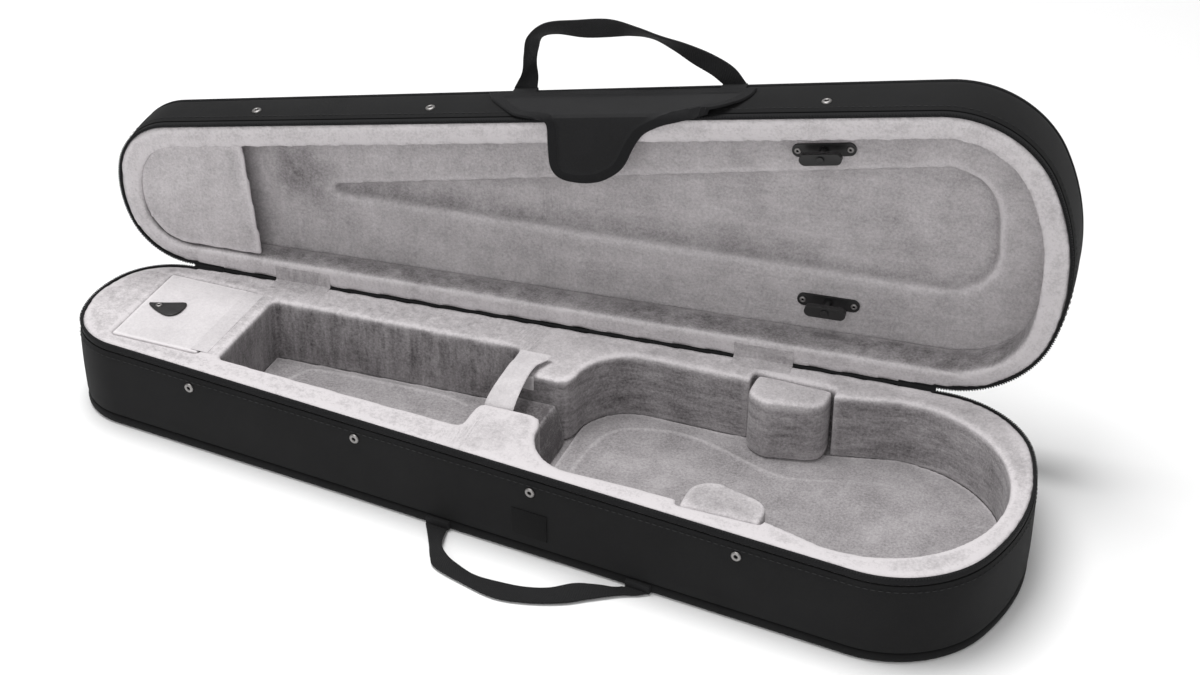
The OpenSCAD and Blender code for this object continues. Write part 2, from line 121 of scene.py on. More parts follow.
floor_mat, tree, shader = new_material("pale floor", Roughness=0.9)
cloudy = node(tree, "ShaderNodeTexNoise", {"Scale": 1.5, "Detail": 2.0})
tint = node(tree, "ShaderNodeMapRange", {"Value": cloudy.outputs["Fac"], "To Min": 0.925, "To Max": 0.94})
tree.links.new(tint.outputs["Result"], shader.inputs["Base Color"])
floor_mesh = bpy.data.meshes.new("floor")
floor_half, floor_z = 9.0, -0.0006
corners = [(x * floor_half, y * floor_half, floor_z) for x, y in ((-1, -1), (1, -1), (1, 1), (-1, 1))]
floor_mesh.from_pydata(corners, [], [(0, 1, 2, 3)])
floor_mesh.materials.append(floor_mat)
floor = bpy.data.objects.new("floor", floor_mesh)
bpy.context.collection.objects.link(floor)
floor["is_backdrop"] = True

camera_place = (0.605572, -1.408360, 1.117840)
camera_turn, camera_drop, camera_roll = (math.radians(a) for a in (-21.339, 32.889, 0.475))
look = Vector((math.sin(camera_turn) * math.cos(camera_drop), math.cos(camera_turn) * math.cos(camera_drop),
               -math.sin(camera_drop)))
level = look.cross(Vector((0, 0, 1))).normalized()
upward = level.cross(look)
side = math.cos(camera_roll) * level + math.sin(camera_roll) * upward
camera_data = bpy.data.cameras.new("camera")
camera_data.lens, camera_data.sensor_width, camera_data.clip_end = 71.68, 36, 50
camera = bpy.data.objects.new("camera", camera_data)
axes = Matrix((side, side.cross(look), -look)).transposed()
camera.matrix_world = Matrix.Translation(camera_place) @ axes.to_4x4()
bpy.context.collection.objects.link(camera)
bpy.context.scene.camera = camera

# ---- Bottom board ----
# The base's stiff underside: a board wrapped in the woven cover, with a rounded edge band that
# stands 8 mm high round the foot of the wall. The outline is the shell's plan: an arc across each
# end, an arc at each corner and a straight side between them.
case_l = 0.785
scroll_half_w, scroll_corner_r, scroll_face_r = 0.067, 0.056, 0.092
body_half_w, body_corner_r, body_face_r = 0.122, 0.086, 0.184
band_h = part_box("base_bottom_panel")[1].z
rim_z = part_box("base_wall_foam")[1].z


arc_points = 90


def shell_outline(count):
    """Points of the shell's plan, their outward normals and their distance along it, evenly spaced. It runs
    from the body end round the hinge side to the scroll end and back along the front. Each point is its
    arc's centre plus the radius times the normal; on a side both run straight."""
    lean_a = math.asin((scroll_half_w - scroll_corner_r) / (scroll_face_r - scroll_corner_r))
    lean_b = math.asin((body_half_w - body_corner_r) / (body_face_r - body_corner_r))
    face_a, face_b = scroll_face_r - case_l / 2, case_l / 2 - body_face_r
    corner_a = (face_a - (scroll_face_r - scroll_corner_r) * math.cos(lean_a),
                scroll_half_w - scroll_corner_r)
    corner_b = (face_b + (body_face_r - body_corner_r) * math.cos(lean_b),
                body_half_w - body_corner_r)
    gap = (corner_b[0] - corner_a[0], corner_b[1] - corner_a[1])
    flank = math.atan2(gap[1], gap[0]) + math.acos((scroll_corner_r - body_corner_r) / math.hypot(*gap))
    arcs = [((face_b, 0), body_face_r, 0, lean_b),
            (corner_b, body_corner_r, lean_b, flank),
            (corner_a, scroll_corner_r, flank, math.pi - lean_a),
            ((face_a, 0), scroll_face_r, math.pi - lean_a, math.pi)]
    turn = np.concatenate([np.linspace(a, b, arc_points) for _, _, a, b in arcs])
    centre = np.repeat([c for c, _, _, _ in arcs], arc_points, axis=0)
    radius = np.repeat([r for _, r, _, _ in arcs], arc_points)
    normal = np.stack([np.cos(turn), np.sin(turn)], 1)
    half = centre + radius[:, None] * normal
    points = np.concatenate([half, half[-2:0:-1] * (1, -1), half[:1]])
    normals = np.concatenate([normal, normal[-2:0:-1] * (1, -1), normal[:1]])
    along = np.concatenate([[0], np.cumsum(np.linalg.norm(np.diff(points, axis=0), axis=1))])
    at = np.linspace(0, 1, count + 1)[:-1] * along[-1]
    points, normals = (np.stack([np.interp(at, along, v[:, k]) for k in (0, 1)], 1)
                       for v in (points, normals))
    return points, normals / np.linalg.norm(normals, axis=1)[:, None], at


def ring(line, out, height):
    """Grid of points round the shell: each is the outline point plus out along its normal, at height.
    out and height are arrays that broadcast to one row per outline point and one column per profile point."""
    points, normals, _ = line
    out, height = np.broadcast_arrays(out, height)
    out, height = (np.broadcast_to(v, (len(points), v.shape[-1])) for v in (out, height))
    flat = points[:, None, :] + normals[:, None, :] * out[..., None]
    return np.concatenate([flat, height[..., None]], 2)


lattice_cells = 32


def soft_noise(p, size, seed=1):
    """Smooth noise from -1 to 1 at points p: random values on a lattice with cells of the given size,
    blended in each cell by 3t*t - 2t*t*t along each axis."""
    values = np.random.default_rng(seed).random((lattice_cells, lattice_cells, lattice_cells))
    q = np.asarray(p, float) / size
    base = np.floor(q).astype(int)
    t = q - base
    t = t * t * (3 - 2 * t)
    total = np.zeros(q.shape[:-1])
    for corner in np.ndindex(2, 2, 2):
        c = np.array(corner)
        share = np.prod(np.where(c == 1, t, 1 - t), axis=-1)
        i = (base + c) % lattice_cells
        total += share * values[i[..., 0], i[..., 1], i[..., 2]]
    return total * 2 - 1


def plan_noise(flat, size, seed):
    """Smooth noise from -1 to 1 at points of the plan."""
    return soft_noise(np.concatenate([flat, np.zeros(flat.shape[:-1] + (1,))], -1), size, seed)


def grid_faces(rows, cols, loop_rows=False, loop_cols=False):
    """Four-sided faces between neighbouring points of a rows by cols grid, wrapped round where it loops."""
    index = np.arange(rows * cols).reshape(rows, cols)
    if loop_rows:
        index = np.concatenate([index, index[:1]])
    if loop_cols:
        index = np.concatenate([index, index[:, :1]], 1)
    return np.stack([index[:-1, :-1], index[1:, :-1], index[1:, 1:], index[:-1, 1:]], -1).reshape(-1, 4)


def drum_faces(count, cols):
    """Faces of a grid whose rows close up round a piece, and a flat face at each end of the profile."""
    ends = [[i * cols + k for i in range(count)] for k in (0, cols - 1)]
    return grid_faces(count, cols, True).tolist() + ends


def as_piece(name, mesh, body=None, replaces=()):
    """Puts a mesh in the scene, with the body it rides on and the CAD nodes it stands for."""
    made = bpy.data.objects.new(name, mesh)
    bpy.context.collection.objects.link(made)
    if body:
        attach(made, body)
    if replaces:
        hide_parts(*replaces)
    return made


def new_piece(name, points, faces, material, body=None, replaces=(), uv=None, crease=35):
    """A mesh object of points and faces, smooth but for edges sharper than crease degrees."""
    mesh = bpy.data.meshes.new(name)
    points = np.asarray(points, float).reshape(-1, 3)
    mesh.from_pydata(points.tolist(), [], [list(map(int, f)) for f in faces])
    if uv is not None:
        corner = np.zeros(len(mesh.loops), np.int32)
        mesh.loops.foreach_get("vertex_index", corner)
        flat = np.asarray(uv, float).reshape(-1, 2)[corner]
        mesh.uv_layers.new(name="cloth").data.foreach_set("uv", flat.ravel())
    build = bmesh.new()
    build.from_mesh(mesh)
    bmesh.ops.recalc_face_normals(build, faces=build.faces)
    build.to_mesh(mesh)
    build.free()
    mesh.shade_smooth()
    mesh.set_sharp_from_angle(angle=math.radians(crease))
    mesh.materials.append(material)
    return as_piece(name, mesh, body, replaces)


def ring_uv(line, profile_length, rows):
    """Cloth coordinates in metres: length round the shell, and length along the profile."""
    along = line[2]
    return np.stack(np.broadcast_arrays(along[:, None], profile_length[None, :]), -1).reshape(rows, -1, 2)


def profile_length(out, height):
    """Distance along a profile from its first point."""
    steps = np.hypot(np.diff(out), np.diff(height))
    return np.concatenate([[0], np.cumsum(steps)])


def noise(tree, place, scale, detail, roughness=0.5):
    """Smooth noise from 0 to 1 at a place, its cells one over scale metres wide."""
    made = node(tree, "ShaderNodeTexNoise", {"Vector": place, "Scale": scale, "Detail": detail,
                                             "Roughness": roughness})
    return made.outputs["Fac"]


def weighted(tree, value, weight, rest):
    """The value times weight, plus rest."""
    return node(tree, "ShaderNodeMath", {0: value, 1: weight, 2: rest}, operation="MULTIPLY_ADD").outputs[0]


def coloured(tree, shader, value, dark, light, low=0.0, high=1.0):
    """Base colour that goes from dark, where value is low, to light, where it is high."""
    ramp = node(tree, "ShaderNodeValToRGB", {"Fac": value})
    for stop, at, colour in zip(ramp.color_ramp.elements, (low, high), (dark, light)):
        stop.position, stop.color = at, (*colour, 1)
    tree.links.new(ramp.outputs["Color"], shader.inputs["Base Color"])


def bumped(tree, shader, height, strength, depth):
    """Fine relief: height times depth in metres, at the given strength."""
    bump = node(tree, "ShaderNodeBump", {"Height": height, "Strength": strength, "Distance": depth})
    tree.links.new(bump.outputs["Normal"], shader.inputs["Normal"])


def woven(name, dark, light, pitch, depth, fleck=0.5):
    """Plain weave: two sine waves at right angles, one up where the other is down, with flecks of lighter
    yarn and slow patches of wear. The pattern follows the cloth's own coordinates in metres."""
    made, tree, shader = new_material(name, Roughness=0.85, Sheen_Weight=0.04, Sheen_Roughness=0.5,
                                      Specular_IOR_Level=0.18)
    cloth = node(tree, "ShaderNodeUVMap", uv_map="cloth")
    split = node(tree, "ShaderNodeSeparateXYZ", {"Vector": cloth.outputs["UV"]})
    waves = []
    for axis in "XY":
        turns = node(tree, "ShaderNodeMath", {0: split.outputs[axis], 1: 2 * math.pi / pitch},
                     operation="MULTIPLY")
        waves.append(node(tree, "ShaderNodeMath", {0: turns.outputs[0]}, operation="SINE").outputs[0])
    weave = node(tree, "ShaderNodeMath", {0: waves[0], 1: waves[1]}, operation="MULTIPLY").outputs[0]
    place = node(tree, "ShaderNodeTexCoord").outputs["Object"]
    yarn = noise(tree, place, 900.0, 2.0)
    worn = noise(tree, place, 22.0, 4.0, 0.6)
    mixed = weighted(tree, weave, 0.12, weighted(tree, worn, 0.5, weighted(tree, yarn, fleck, 0.0)))
    coloured(tree, shader, mixed, dark, light, 0.2, 0.8)
    bumped(tree, shader, weighted(tree, yarn, 0.5, weave), 0.6, depth)
    return made


cover_mat = woven("woven cover", (0.0036, 0.0036, 0.0039), (0.0105, 0.0105, 0.011), 0.0011, 0.00012)
board_rows = 420
board_line = shell_outline(board_rows)
edge_turn = np.linspace(-np.pi / 2, np.pi / 2, 11)
edge_out = np.concatenate([[-0.012, -0.006], -0.0024 + 0.0024 * np.cos(edge_turn), [-0.006, -0.012]])
edge_z = np.concatenate([[0, 0], band_h / 2 + (band_h / 2) * np.sin(edge_turn), [band_h, band_h]])
ripple = plan_noise(board_line[0], 0.045, 3)[:, None]
board = ring(board_line, edge_out + 0.0004 * ripple * (edge_out > -0.004), edge_z)
new_piece("bottom_board", board, drum_faces(board_rows, len(edge_out)), cover_mat, "base",
          ["base_bottom_panel"],
          ring_uv(board_line, profile_length(edge_out, edge_z), board_rows))

# ---- Woven side covers ----
# Woven nylon stretched round each half's foam wall: it tucks into the groove over the edge band,
# bulges slightly between the seams and stops under the zip tape. One row of stitches runs below it.
hinge = next(j for j in frame["record"]["behaviour"]["joints"] if j["name"] == "lid_hinge")
hinge_at, hinge_axis = np.array(hinge["pos_m"]), np.array(hinge["axis"])
open_turn = -math.radians(hinge["range_deg"][1])
tape_h = 0.0055
cover_t = 0.002
lid_rim_z = rim_z + 0.0008
lid_h, lid_rise, piping_h = 0.0508, 0.0132, 0.004
top_z = rim_z + 0.0004 + lid_h


def swing(p, share=1.0):
    """Points of the lid drawn closed, turned about the hinge line to where it stands open, or a share of
    the way: the part along the axis stays, the rest turns by Rodrigues' formula."""
    v = np.asarray(p, float) - hinge_at
    turn = open_turn * np.asarray(share)[..., None]
    along = (v @ hinge_axis)[..., None] * hinge_axis
    return along + (v - along) * np.cos(turn) + np.cross(hinge_axis, v) * np.sin(turn) + hinge_at


def lid_top(x, below=0.0):
    """Height of the lid's sloping top at x, less below."""
    return top_z - below + np.asarray(x) * lid_rise / case_l


def side_cover(line, low, high, seed):
    """Closed grid of a wall's cover: outer face from low to high with a slight bulge and uneven pull,
    rounded edges, and a flat inner face. low and high are heights at each outline point."""
    share = np.linspace(0, 1, 13)
    bulge = 0.0007 * np.sin(np.pi * share) - 0.0007 * (np.abs(share - 0.5) > 0.49)
    out = np.concatenate([bulge, [-0.0005, -cover_t, -cover_t, -0.0005]])
    share = np.concatenate([share, [1.0, 1.0, 0.0, 0.0]])
    z = low[:, None] + (high - low)[:, None] * share
    p = np.concatenate([np.repeat(line[0][:, None], len(share), 1), z[..., None]], 2)
    pull = 0.00035 * soft_noise(p, 0.07, seed) + 0.00018 * soft_noise(p, 0.022, seed + 1)
    return ring(line, out + pull * (out > -0.0004), z), out, share


cover_rows = 520
cover_line = shell_outline(cover_rows)
flat_low = np.full(cover_rows, band_h + 0.001)
flat_high = np.full(cover_rows, rim_z - tape_h - 0.001)
grid, out, share = side_cover(cover_line, flat_low, flat_high, 11)
cloth = ring_uv(cover_line, share * 0.06, cover_rows)
base_cover = new_piece("base_side_cover_cloth", grid, grid_faces(cover_rows, len(out), True, True), cover_mat,
                       "base", ["base_side_cover"], cloth)

lid_low = np.full(cover_rows, lid_rim_z + tape_h + 0.001)
lid_high = lid_top(cover_line[0][:, 0], piping_h + 0.0004)
grid, out, share = side_cover(cover_line, lid_low, lid_high, 21)
lid_cover = new_piece("lid_side_cover_cloth", swing(grid), grid_faces(cover_rows, len(out), True, True),
                      cover_mat, "lid", ["lid_side_cover"],
                      ring_uv(cover_line, share * 0.04, cover_rows))

# ---- Zip tapes ----
# Black tape sewn round each rim just inside the cover's edge, with a row of small coil teeth along
# its free edge. The tape stops where the woven hinge strip begins.
tape_mat = woven("zip tape", (0.005, 0.005, 0.0055), (0.013, 0.013, 0.014), 0.0007, 0.00008)
strip_low, strip_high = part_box("spine_strip_base")
fine_count = 6000


def zip_line(count):
    """The outline from one end of the hinge strip round the front to the other, evenly spaced."""
    points, normals, along = shell_outline(fine_count)
    behind = (points[:, 1] > 0) & (points[:, 0] > strip_low.x) & (points[:, 0] < strip_high.x)
    first = int(np.flatnonzero(behind)[-1]) + 1
    points, normals, behind = (np.roll(v, -first, axis=0) for v in (points, normals, behind))
    keep = np.linspace(0, np.flatnonzero(~behind)[-1], count).astype(int)
    return points[keep], normals[keep], keep * (along[1] - along[0])


def set_along(line, out, height, shape):
    """A small round shape at each outline point, moved out along the normal there and up to height. shape
    holds its grid's distances along the line, along the normal and up."""
    points, normals, _ = line
    tangent = np.stack([-normals[:, 1], normals[:, 0]], 1)
    long_way, out_way, up = shape
    flat = (points + out * normals)[:, None, None] + long_way[None, ..., None] * tangent[:, None, None] \
        + out_way[None, ..., None] * normals[:, None, None]
    z = np.broadcast_to(height + up, flat.shape[:3])
    return np.concatenate([flat, z[..., None]], 3)


def strip_faces(rows, cols):
    """Faces of a grid whose columns close up round a long piece, and a flat face at each of its ends."""
    ends = [[row * cols + k for k in range(cols)] for row in (0, rows - 1)]
    return grid_faces(rows, cols, False, True).tolist() + ends


def repeat_faces(faces, size, count):
    """The faces of one small shape of size points, again for each of count shapes."""
    return [[v + size * k for v in f] for k in range(count) for f in faces]


def stay(p):
    """Points of the base need no turning."""
    return p


zip_rows, teeth_count = 460, 560
tooth_in, tooth_lap = 0.0010, 0.0003
tape_out = np.array([-0.0010, -0.0010, -0.0013, -0.0019, -0.0028, -0.0030, -0.0030])
tape_share = np.array([0, 0.88, 0.97, 1.0, 1.0, 0.96, 0])
# A tooth is a ball of 24 faces flattened along the rim: its radii times sin a cos b, sin a sin b and cos a.
bead_rows, bead_cols = 5, 6
bead_size = bead_rows * bead_cols
lat = np.linspace(0, np.pi, bead_rows)[:, None]
lon = np.linspace(0, 2 * np.pi, bead_cols + 1)[:-1][None, :]
tooth = (0.00075 * np.sin(lat) * np.cos(lon), 0.0011 * np.sin(lat) * np.sin(lon),
         0.0005 * np.cos(lat) * np.ones_like(lon))
# Each half: its body, how its points are turned, the height of its rim and which way its wall runs from it.
halves = (("base", stay, rim_z, -1), ("lid", swing, lid_rim_z, 1))
for half, place, lip, wall_way in halves:
    line = zip_line(zip_rows)
    foot = lip + wall_way * tape_h
    tape_z = foot + (lip - foot) * tape_share
    tape = new_piece(half + "_zip_tape_cloth", place(ring(line, tape_out, tape_z)),
                     strip_faces(zip_rows, len(tape_out)), tape_mat, half, [half + "_zip_tape"],
                     ring_uv(line, profile_length(tape_out, tape_z), zip_rows))
    teeth = set_along(zip_line(teeth_count), -tooth_in, lip + wall_way * tooth_lap, tooth)
    tooth_faces = repeat_faces(grid_faces(bead_rows, bead_cols, False, True).tolist(), bead_size, teeth_count)
    new_piece(half + "_zip_teeth", place(teeth), tooth_faces, tape_mat, half, crease=60,
              uv=np.zeros((teeth.size // 3, 2)))

# ---- Stitches ----
# One row of lock stitches through each cover, 11 mm from the rim: short thread dashes set end to end.
# A dash is a six-sided spindle, its radius times the sine of the way along it.
thread_mat = woven("thread", (0.016, 0.016, 0.017), (0.035, 0.035, 0.036), 0.0006, 0.00005)
stitch_count, stitch_drop, stitch_out = 230, 0.011, 0.0006
stitch_l, stitch_r, stitch_flat, stitch_tip = 0.0040, 0.00045, 0.6, 0.05
thick = stitch_r * np.maximum(np.sin(lat), stitch_tip)
dash = (stitch_l / 2 * -np.cos(lat) * np.ones(bead_cols), thick * np.cos(lon) * stitch_flat,
        thick * np.sin(lon))
dash_faces = repeat_faces(strip_faces(bead_rows, bead_cols), bead_size, stitch_count)
for half, place, lip, wall_way in halves:
    stitches = set_along(zip_line(stitch_count), stitch_out, lip + wall_way * stitch_drop, dash)
    new_piece(half + "_rim_stitches", place(stitches), dash_faces, thread_mat, half,
              crease=60, uv=np.zeros((stitches.size // 3, 2)))

# ---- Hinge strip ----
# A strip of tightly woven tape sewn over both halves along the back, from end to end of the straight
# wall. It is the cloth hinge: flat when the case is shut, folded into the corner when it is open.
strip_rows, strip_half, strip_edge = 220, 0.0262, 0.0255
strip_past_scroll, strip_past_body, strip_sunk = 0.026, 0.030, 0.0011
strip_outer, strip_inner, strip_flat_w = 0.0009, 0.0001, 0.0525
fold_half, turn_reach = 0.003, 0.0022


def two_skins(upper, under):
    """A thin closed sheet whose rows run along the upper skin and back along the under one: its grid and
    its faces."""
    grid = np.concatenate([upper, under[:, ::-1]], 1)
    return grid, strip_faces(*grid.shape[:2])


line = shell_outline(fine_count)
x = line[0][:, 0]
on_strip = (line[0][:, 1] > 0) & (x > strip_low.x - strip_past_scroll) & (x < strip_high.x + strip_past_body)
keep = np.flatnonzero(on_strip)[np.linspace(0, on_strip.sum() - 1, strip_rows).astype(int)]
strip_line = tuple(v[keep] for v in line)
rise = np.concatenate([np.linspace(-0.026, -0.004, 9), np.linspace(-fold_half, fold_half, 13),
                       np.linspace(0.004, strip_half, 11)])
fold = np.clip((rise + fold_half) / (2 * fold_half), 0, 1)
fold = fold * fold * (3 - 2 * fold)
x = strip_line[0][:, 0]
sunk = ((x < strip_low.x) | (x > strip_high.x))[:, None] * strip_sunk
edge = np.where(np.abs(rise) > strip_edge, 0.0, 1.0)
skins = []
for out in (strip_outer, strip_inner):
    grid = ring(strip_line, strip_inner + (out - strip_inner) * edge - sunk, hinge_at[2] + rise)
    skins.append(swing(grid, np.broadcast_to(fold, grid.shape[:2])))
grid, faces = two_skins(*skins)
hinge_strip = new_piece("hinge_strip", grid, faces, tape_mat,
                        replaces=["spine_strip_base", "spine_strip_lid"],
                        uv=ring_uv(strip_line, np.concatenate([rise, rise[::-1]]), strip_rows))
up = np.array((0, 0, 1))
strip_out = np.cross(up, hinge_axis)
strip_out /= np.linalg.norm(strip_out)
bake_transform(hinge_strip)

# ---- Base lining ----
# Grey plush glued over a moulded foam wall: flat on the rim, rolled over the edges of the wells and
# down their sides. Its colour holds painted light: a painted highlight on every edge and painted shade in
# every hollow.
def plush(name, pale, deep, mottle=0.8, lift=0.5, stroke=1.25):
    """Short brushed pile: two sizes of noise, drawn-out strokes of the nap that stand upright in the neck
    well and lie level elsewhere, and the piece's attribute "edge", from -1 in a hollow to 1 on an edge, which
    paints shade into the hollows and a highlight onto the edges."""
    made, tree, shader = new_material(name, Roughness=0.96, Sheen_Weight=0.15, Sheen_Roughness=0.6,
                                      Specular_IOR_Level=0.1)
    place = node(tree, "ShaderNodeTexCoord").outputs["Object"]
    upright = node(tree, "ShaderNodeMapping", {"Vector": place, "Scale": (5.0, 5.0, 0.9)})
    flat_lying = node(tree, "ShaderNodeMapping", {"Vector": place, "Scale": (0.9, 0.9, 5.0)})
    split = node(tree, "ShaderNodeSeparateXYZ", {"Vector": place})
    which = node(tree, "ShaderNodeMapRange", {"Value": split.outputs["X"], "From Min": -0.045,
                                              "From Max": -0.02})
    which.clamp = True
    nap = node(tree, "ShaderNodeMix", {0: which.outputs["Result"], 4: upright.outputs["Vector"],
                                       5: flat_lying.outputs["Vector"]}, data_type="VECTOR")
    strokes = noise(tree, nap.outputs[1], 30.0, 6.0, 0.72)
    clouds = noise(tree, place, 30.0, 6.0, 0.68)
    speckle = noise(tree, place, 480.0, 3.0, 0.75)
    edge = node(tree, "ShaderNodeAttribute", attribute_name="edge")
    # painted light: the "edge" attribute, weighted by lift, lightens edges and darkens hollows
    total = weighted(tree, edge.outputs["Fac"], lift, 0.5)
    for texture, weight in ((strokes, stroke), (clouds, 0.85), (speckle, 0.95)):
        centred = node(tree, "ShaderNodeMath", {0: texture, 1: -0.5}, operation="ADD").outputs[0]
        total = weighted(tree, centred, weight * mottle, total)
    coloured(tree, shader, total, deep, pale)
    bumped(tree, shader, weighted(tree, strokes, 2.2, noise(tree, place, 900.0, 3.0)), 0.6, 0.0008)
    return made


def merge_points(mesh, reach):
    """Makes one point of those closer together than reach."""
    build = bmesh.new()
    build.from_mesh(mesh)
    bmesh.ops.remove_doubles(build, verts=build.verts, dist=reach)
    build.to_mesh(mesh)
    build.free()


def mark(piece, name, values):
    """Writes one value for each point of the piece, which its material reads by name."""
    values = np.asarray(values, np.float32).ravel()
    piece.data.attributes.new(name, "FLOAT", "POINT").data.foreach_set("value", values)


def neighbour_mean(p, ends, count):
    """Mean of each point's neighbours along the mesh's edges."""
    first, second = ends[:, 0], ends[:, 1]
    total = np.stack([np.bincount(first, p[second, k], count) + np.bincount(second, p[first, k], count)
                      for k in range(p.shape[1])], 1)
    return total / (np.bincount(first, minlength=count) + np.bincount(second, minlength=count))[:, None]


def plush_piece(name, source, voxel, body, material, rounds=3, shape=None, tone=None):
    """A copy of the CAD solid, remeshed in even cubes, each point then moved toward its neighbours' mean for
    some rounds, and out or in by soft noise. The edge value is the surface's bend, four times the gap to the
    neighbours' mean over the cube's side squared: painted highlight where the surface bends out, painted
    shade where it bends in. tone adds to it, and shape moves points and adds to it."""
    mesh = frame["nodes"][source].data.copy()
    merge_points(mesh, 0.00001)
    made = bpy.data.objects.new(name, mesh)
    bpy.context.collection.objects.link(made)
    cubes = made.modifiers.new("even mesh", "REMESH")
    cubes.mode, cubes.voxel_size = "VOXEL", voxel
    even = bpy.data.meshes.new_from_object(made.evaluated_get(bpy.context.evaluated_depsgraph_get()))
    made.modifiers.clear()
    made.data = even
    count = len(even.vertices)
    p, ends = np.zeros(count * 3), np.zeros(len(even.edges) * 2, np.int32)
    even.vertices.foreach_get("co", p)
    even.edges.foreach_get("vertices", ends)
    p, ends = p.reshape(-1, 3), ends.reshape(-1, 2)
    for _ in range(rounds):
        p = 0.4 * p + 0.6 * neighbour_mean(p, ends, count)
    even.vertices.foreach_set("co", p.ravel())
    even.update()
    normal = np.zeros(count * 3)
    even.vertices.foreach_get("normal", normal)
    normal = normal.reshape(-1, 3)
    # painted light and shade from the bend: outward bends paler, hollows darker
    bend = -((neighbour_mean(p, ends, count) - p) * normal).sum(1) * 4 / voxel ** 2
    bend = np.clip(bend / 260, -1, 1)[:, None]
    for _ in range(2):
        bend = 0.5 * bend + 0.5 * neighbour_mean(bend, ends, count)
    bend = bend[:, 0]
    p = p + normal * (0.00025 * soft_noise(p, 0.03, 5) + 0.00015 * soft_noise(p, 0.009, 6))[:, None]
    if shape is not None:
        p, more = shape(p, normal)
        bend = bend + more
    if tone is not None:
        bend = bend + tone(p, normal)
    even.vertices.foreach_set("co", p.ravel())
    mark(made, "edge", bend)
    even.update()
    even.shade_smooth()
    even.materials.clear()
    even.materials.append(material)
    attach(made, body)
    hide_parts(source)
    return made


plush_mat = plush("plush lining", (0.62, 0.59, 0.602), (0.085, 0.077, 0.080))
smooth_mat = plush("plush pads and lid", (0.62, 0.59, 0.602), (0.085, 0.077, 0.080), mottle=0.80, stroke=0.42)
pale_mat = plush("pale plush", (0.70, 0.672, 0.682), (0.38, 0.36, 0.37), mottle=0.7, stroke=0.3)


def rim_light_and_shade(p, normal):
    """Painted light and shade: a painted highlight, palest on the up-facing front rim and less so behind,
    where the open lid shades it, and painted shade down the sides of the wells. Also darker over the
    scroll end and on the partition beside the accessory lid."""
    up = np.clip(normal[:, 2], 0, 1) ** 2
    on_rim = np.clip((p[:, 2] - rim_z + 0.012) / 0.008, 0, 1)
    behind = np.clip(p[:, 1] / 0.05 + 0.3, 0, 1)
    depth = np.clip((rim_z - 0.004 - p[:, 2]) / 0.055, 0, 1)
    lit_end = np.clip((p[:, 0] - 0.2) / 0.15, 0, 1)
    partition = (p[:, 0] > -0.272) & (p[:, 0] < -0.250) & (np.abs(p[:, 1]) < 0.046)
    # darker over the scroll end and on the partition beside the accessory lid
    worn = 0.22 * np.clip((-0.262 - p[:, 0]) / 0.03, 0, 1) + 0.22 * partition
    # painted shade down the wells' sides, deeper lower down and less toward the body end
    side_shade = 0.36 - 0.22 * lit_end + 0.1 * depth
    # painted highlight on the up-facing rim, dimmed behind by the open lid's painted shadow
    return (0.80 - 0.38 * behind - worn) * up * on_rim - side_shade * (1 - up * on_rim)


def outward(p):
    """How far each point lies outside the shell's outline in plan, and the outline's normal there."""
    points, normals, _ = shell_outline(900)
    parts = np.array_split(p[:, :2], 1 + len(p) // 2000)
    nearest = np.concatenate([((points - part[:, None]) ** 2).sum(2).argmin(1) for part in parts])
    return ((p[:, :2] - points[nearest]) * normals[nearest]).sum(1), normals[nearest]


tape_spread, hinge_spread = 0.0016, 0.0042
hinge_side_low, hinge_side_high = strip_low.x - 0.022, strip_high.x + 0.026


def spread_rim(p, hinge_side):
    """Draws the plush outward over the zip tape by tape_spread, or by hinge_spread on the hinge side. Points
    come as in the closed case, with height counted from the rim plane. Returns the moved points, and for
    those near the rim their share of the move, their rows and which of them are on the hinge side."""
    rows = np.flatnonzero(np.abs(p[:, 2]) < 0.0045)
    out, normal = outward(p[rows])
    side = hinge_side[rows]
    weight = np.clip((out + 0.0095) / 0.0042, 0, 1) * np.clip((0.0042 - np.abs(p[rows, 2])) / 0.0018, 0, 1)
    moved = p.copy()
    moved[rows, :2] += (weight * np.where(side, hinge_spread, tape_spread))[:, None] * normal
    return moved, weight, rows, side


def to_hinge_line(p, normal):
    """Draws the base's plush out over its rim. Returns the moved points and no change of tone."""
    behind = (p[:, 0] > hinge_side_low) & (p[:, 0] < hinge_side_high) & (p[:, 1] > 0)
    moved, weight, rows, side = spread_rim(p - (0, 0, rim_z), behind)
    moved[:, 2] += rim_z
    moved[rows, 2] += 0.0003 * weight * side
    return moved, np.zeros(len(p))


wall_along = np.array((hinge_axis[0], hinge_axis[1], 0.0))
wall_along /= np.linalg.norm(wall_along)
wall_out = np.array((-wall_along[1], wall_along[0], 0.0))
wall_out *= np.sign(wall_out[1])
plush_piece("base_wall_lining", "base_wall_foam", 0.0022, "base", plush_mat, rounds=2,
            tone=rim_light_and_shade, shape=to_hinge_line)
plush_piece("base_floor_board", "base_floor_foam", 0.004, "base", plush_mat)

# ---- Floor pads, neck rest and bout blocks ----
# Thin plush pads glued on the floor of each well, a thick pad under the neck, and two firm blocks
# that hold the violin's waist. A stiff sheet under the floor's cloth prints a raised line through it.
def pad_tone(amount):
    """The same change of tone all over."""
    return lambda p, normal: np.full(len(p), amount)


def line_distance(p, route):
    """Distance in plan from each point to a route of straight stretches."""
    route = np.asarray(route, float)
    best = np.full(len(p), 1e9)
    for a, b in zip(route[:-1], route[1:]):
        t = np.clip(((p[:, :2] - a) @ (b - a)) / ((b - a) @ (b - a)), 0, 1)
        best = np.minimum(best, np.linalg.norm(p[:, :2] - a - t[:, None] * (b - a), axis=1))
    return best


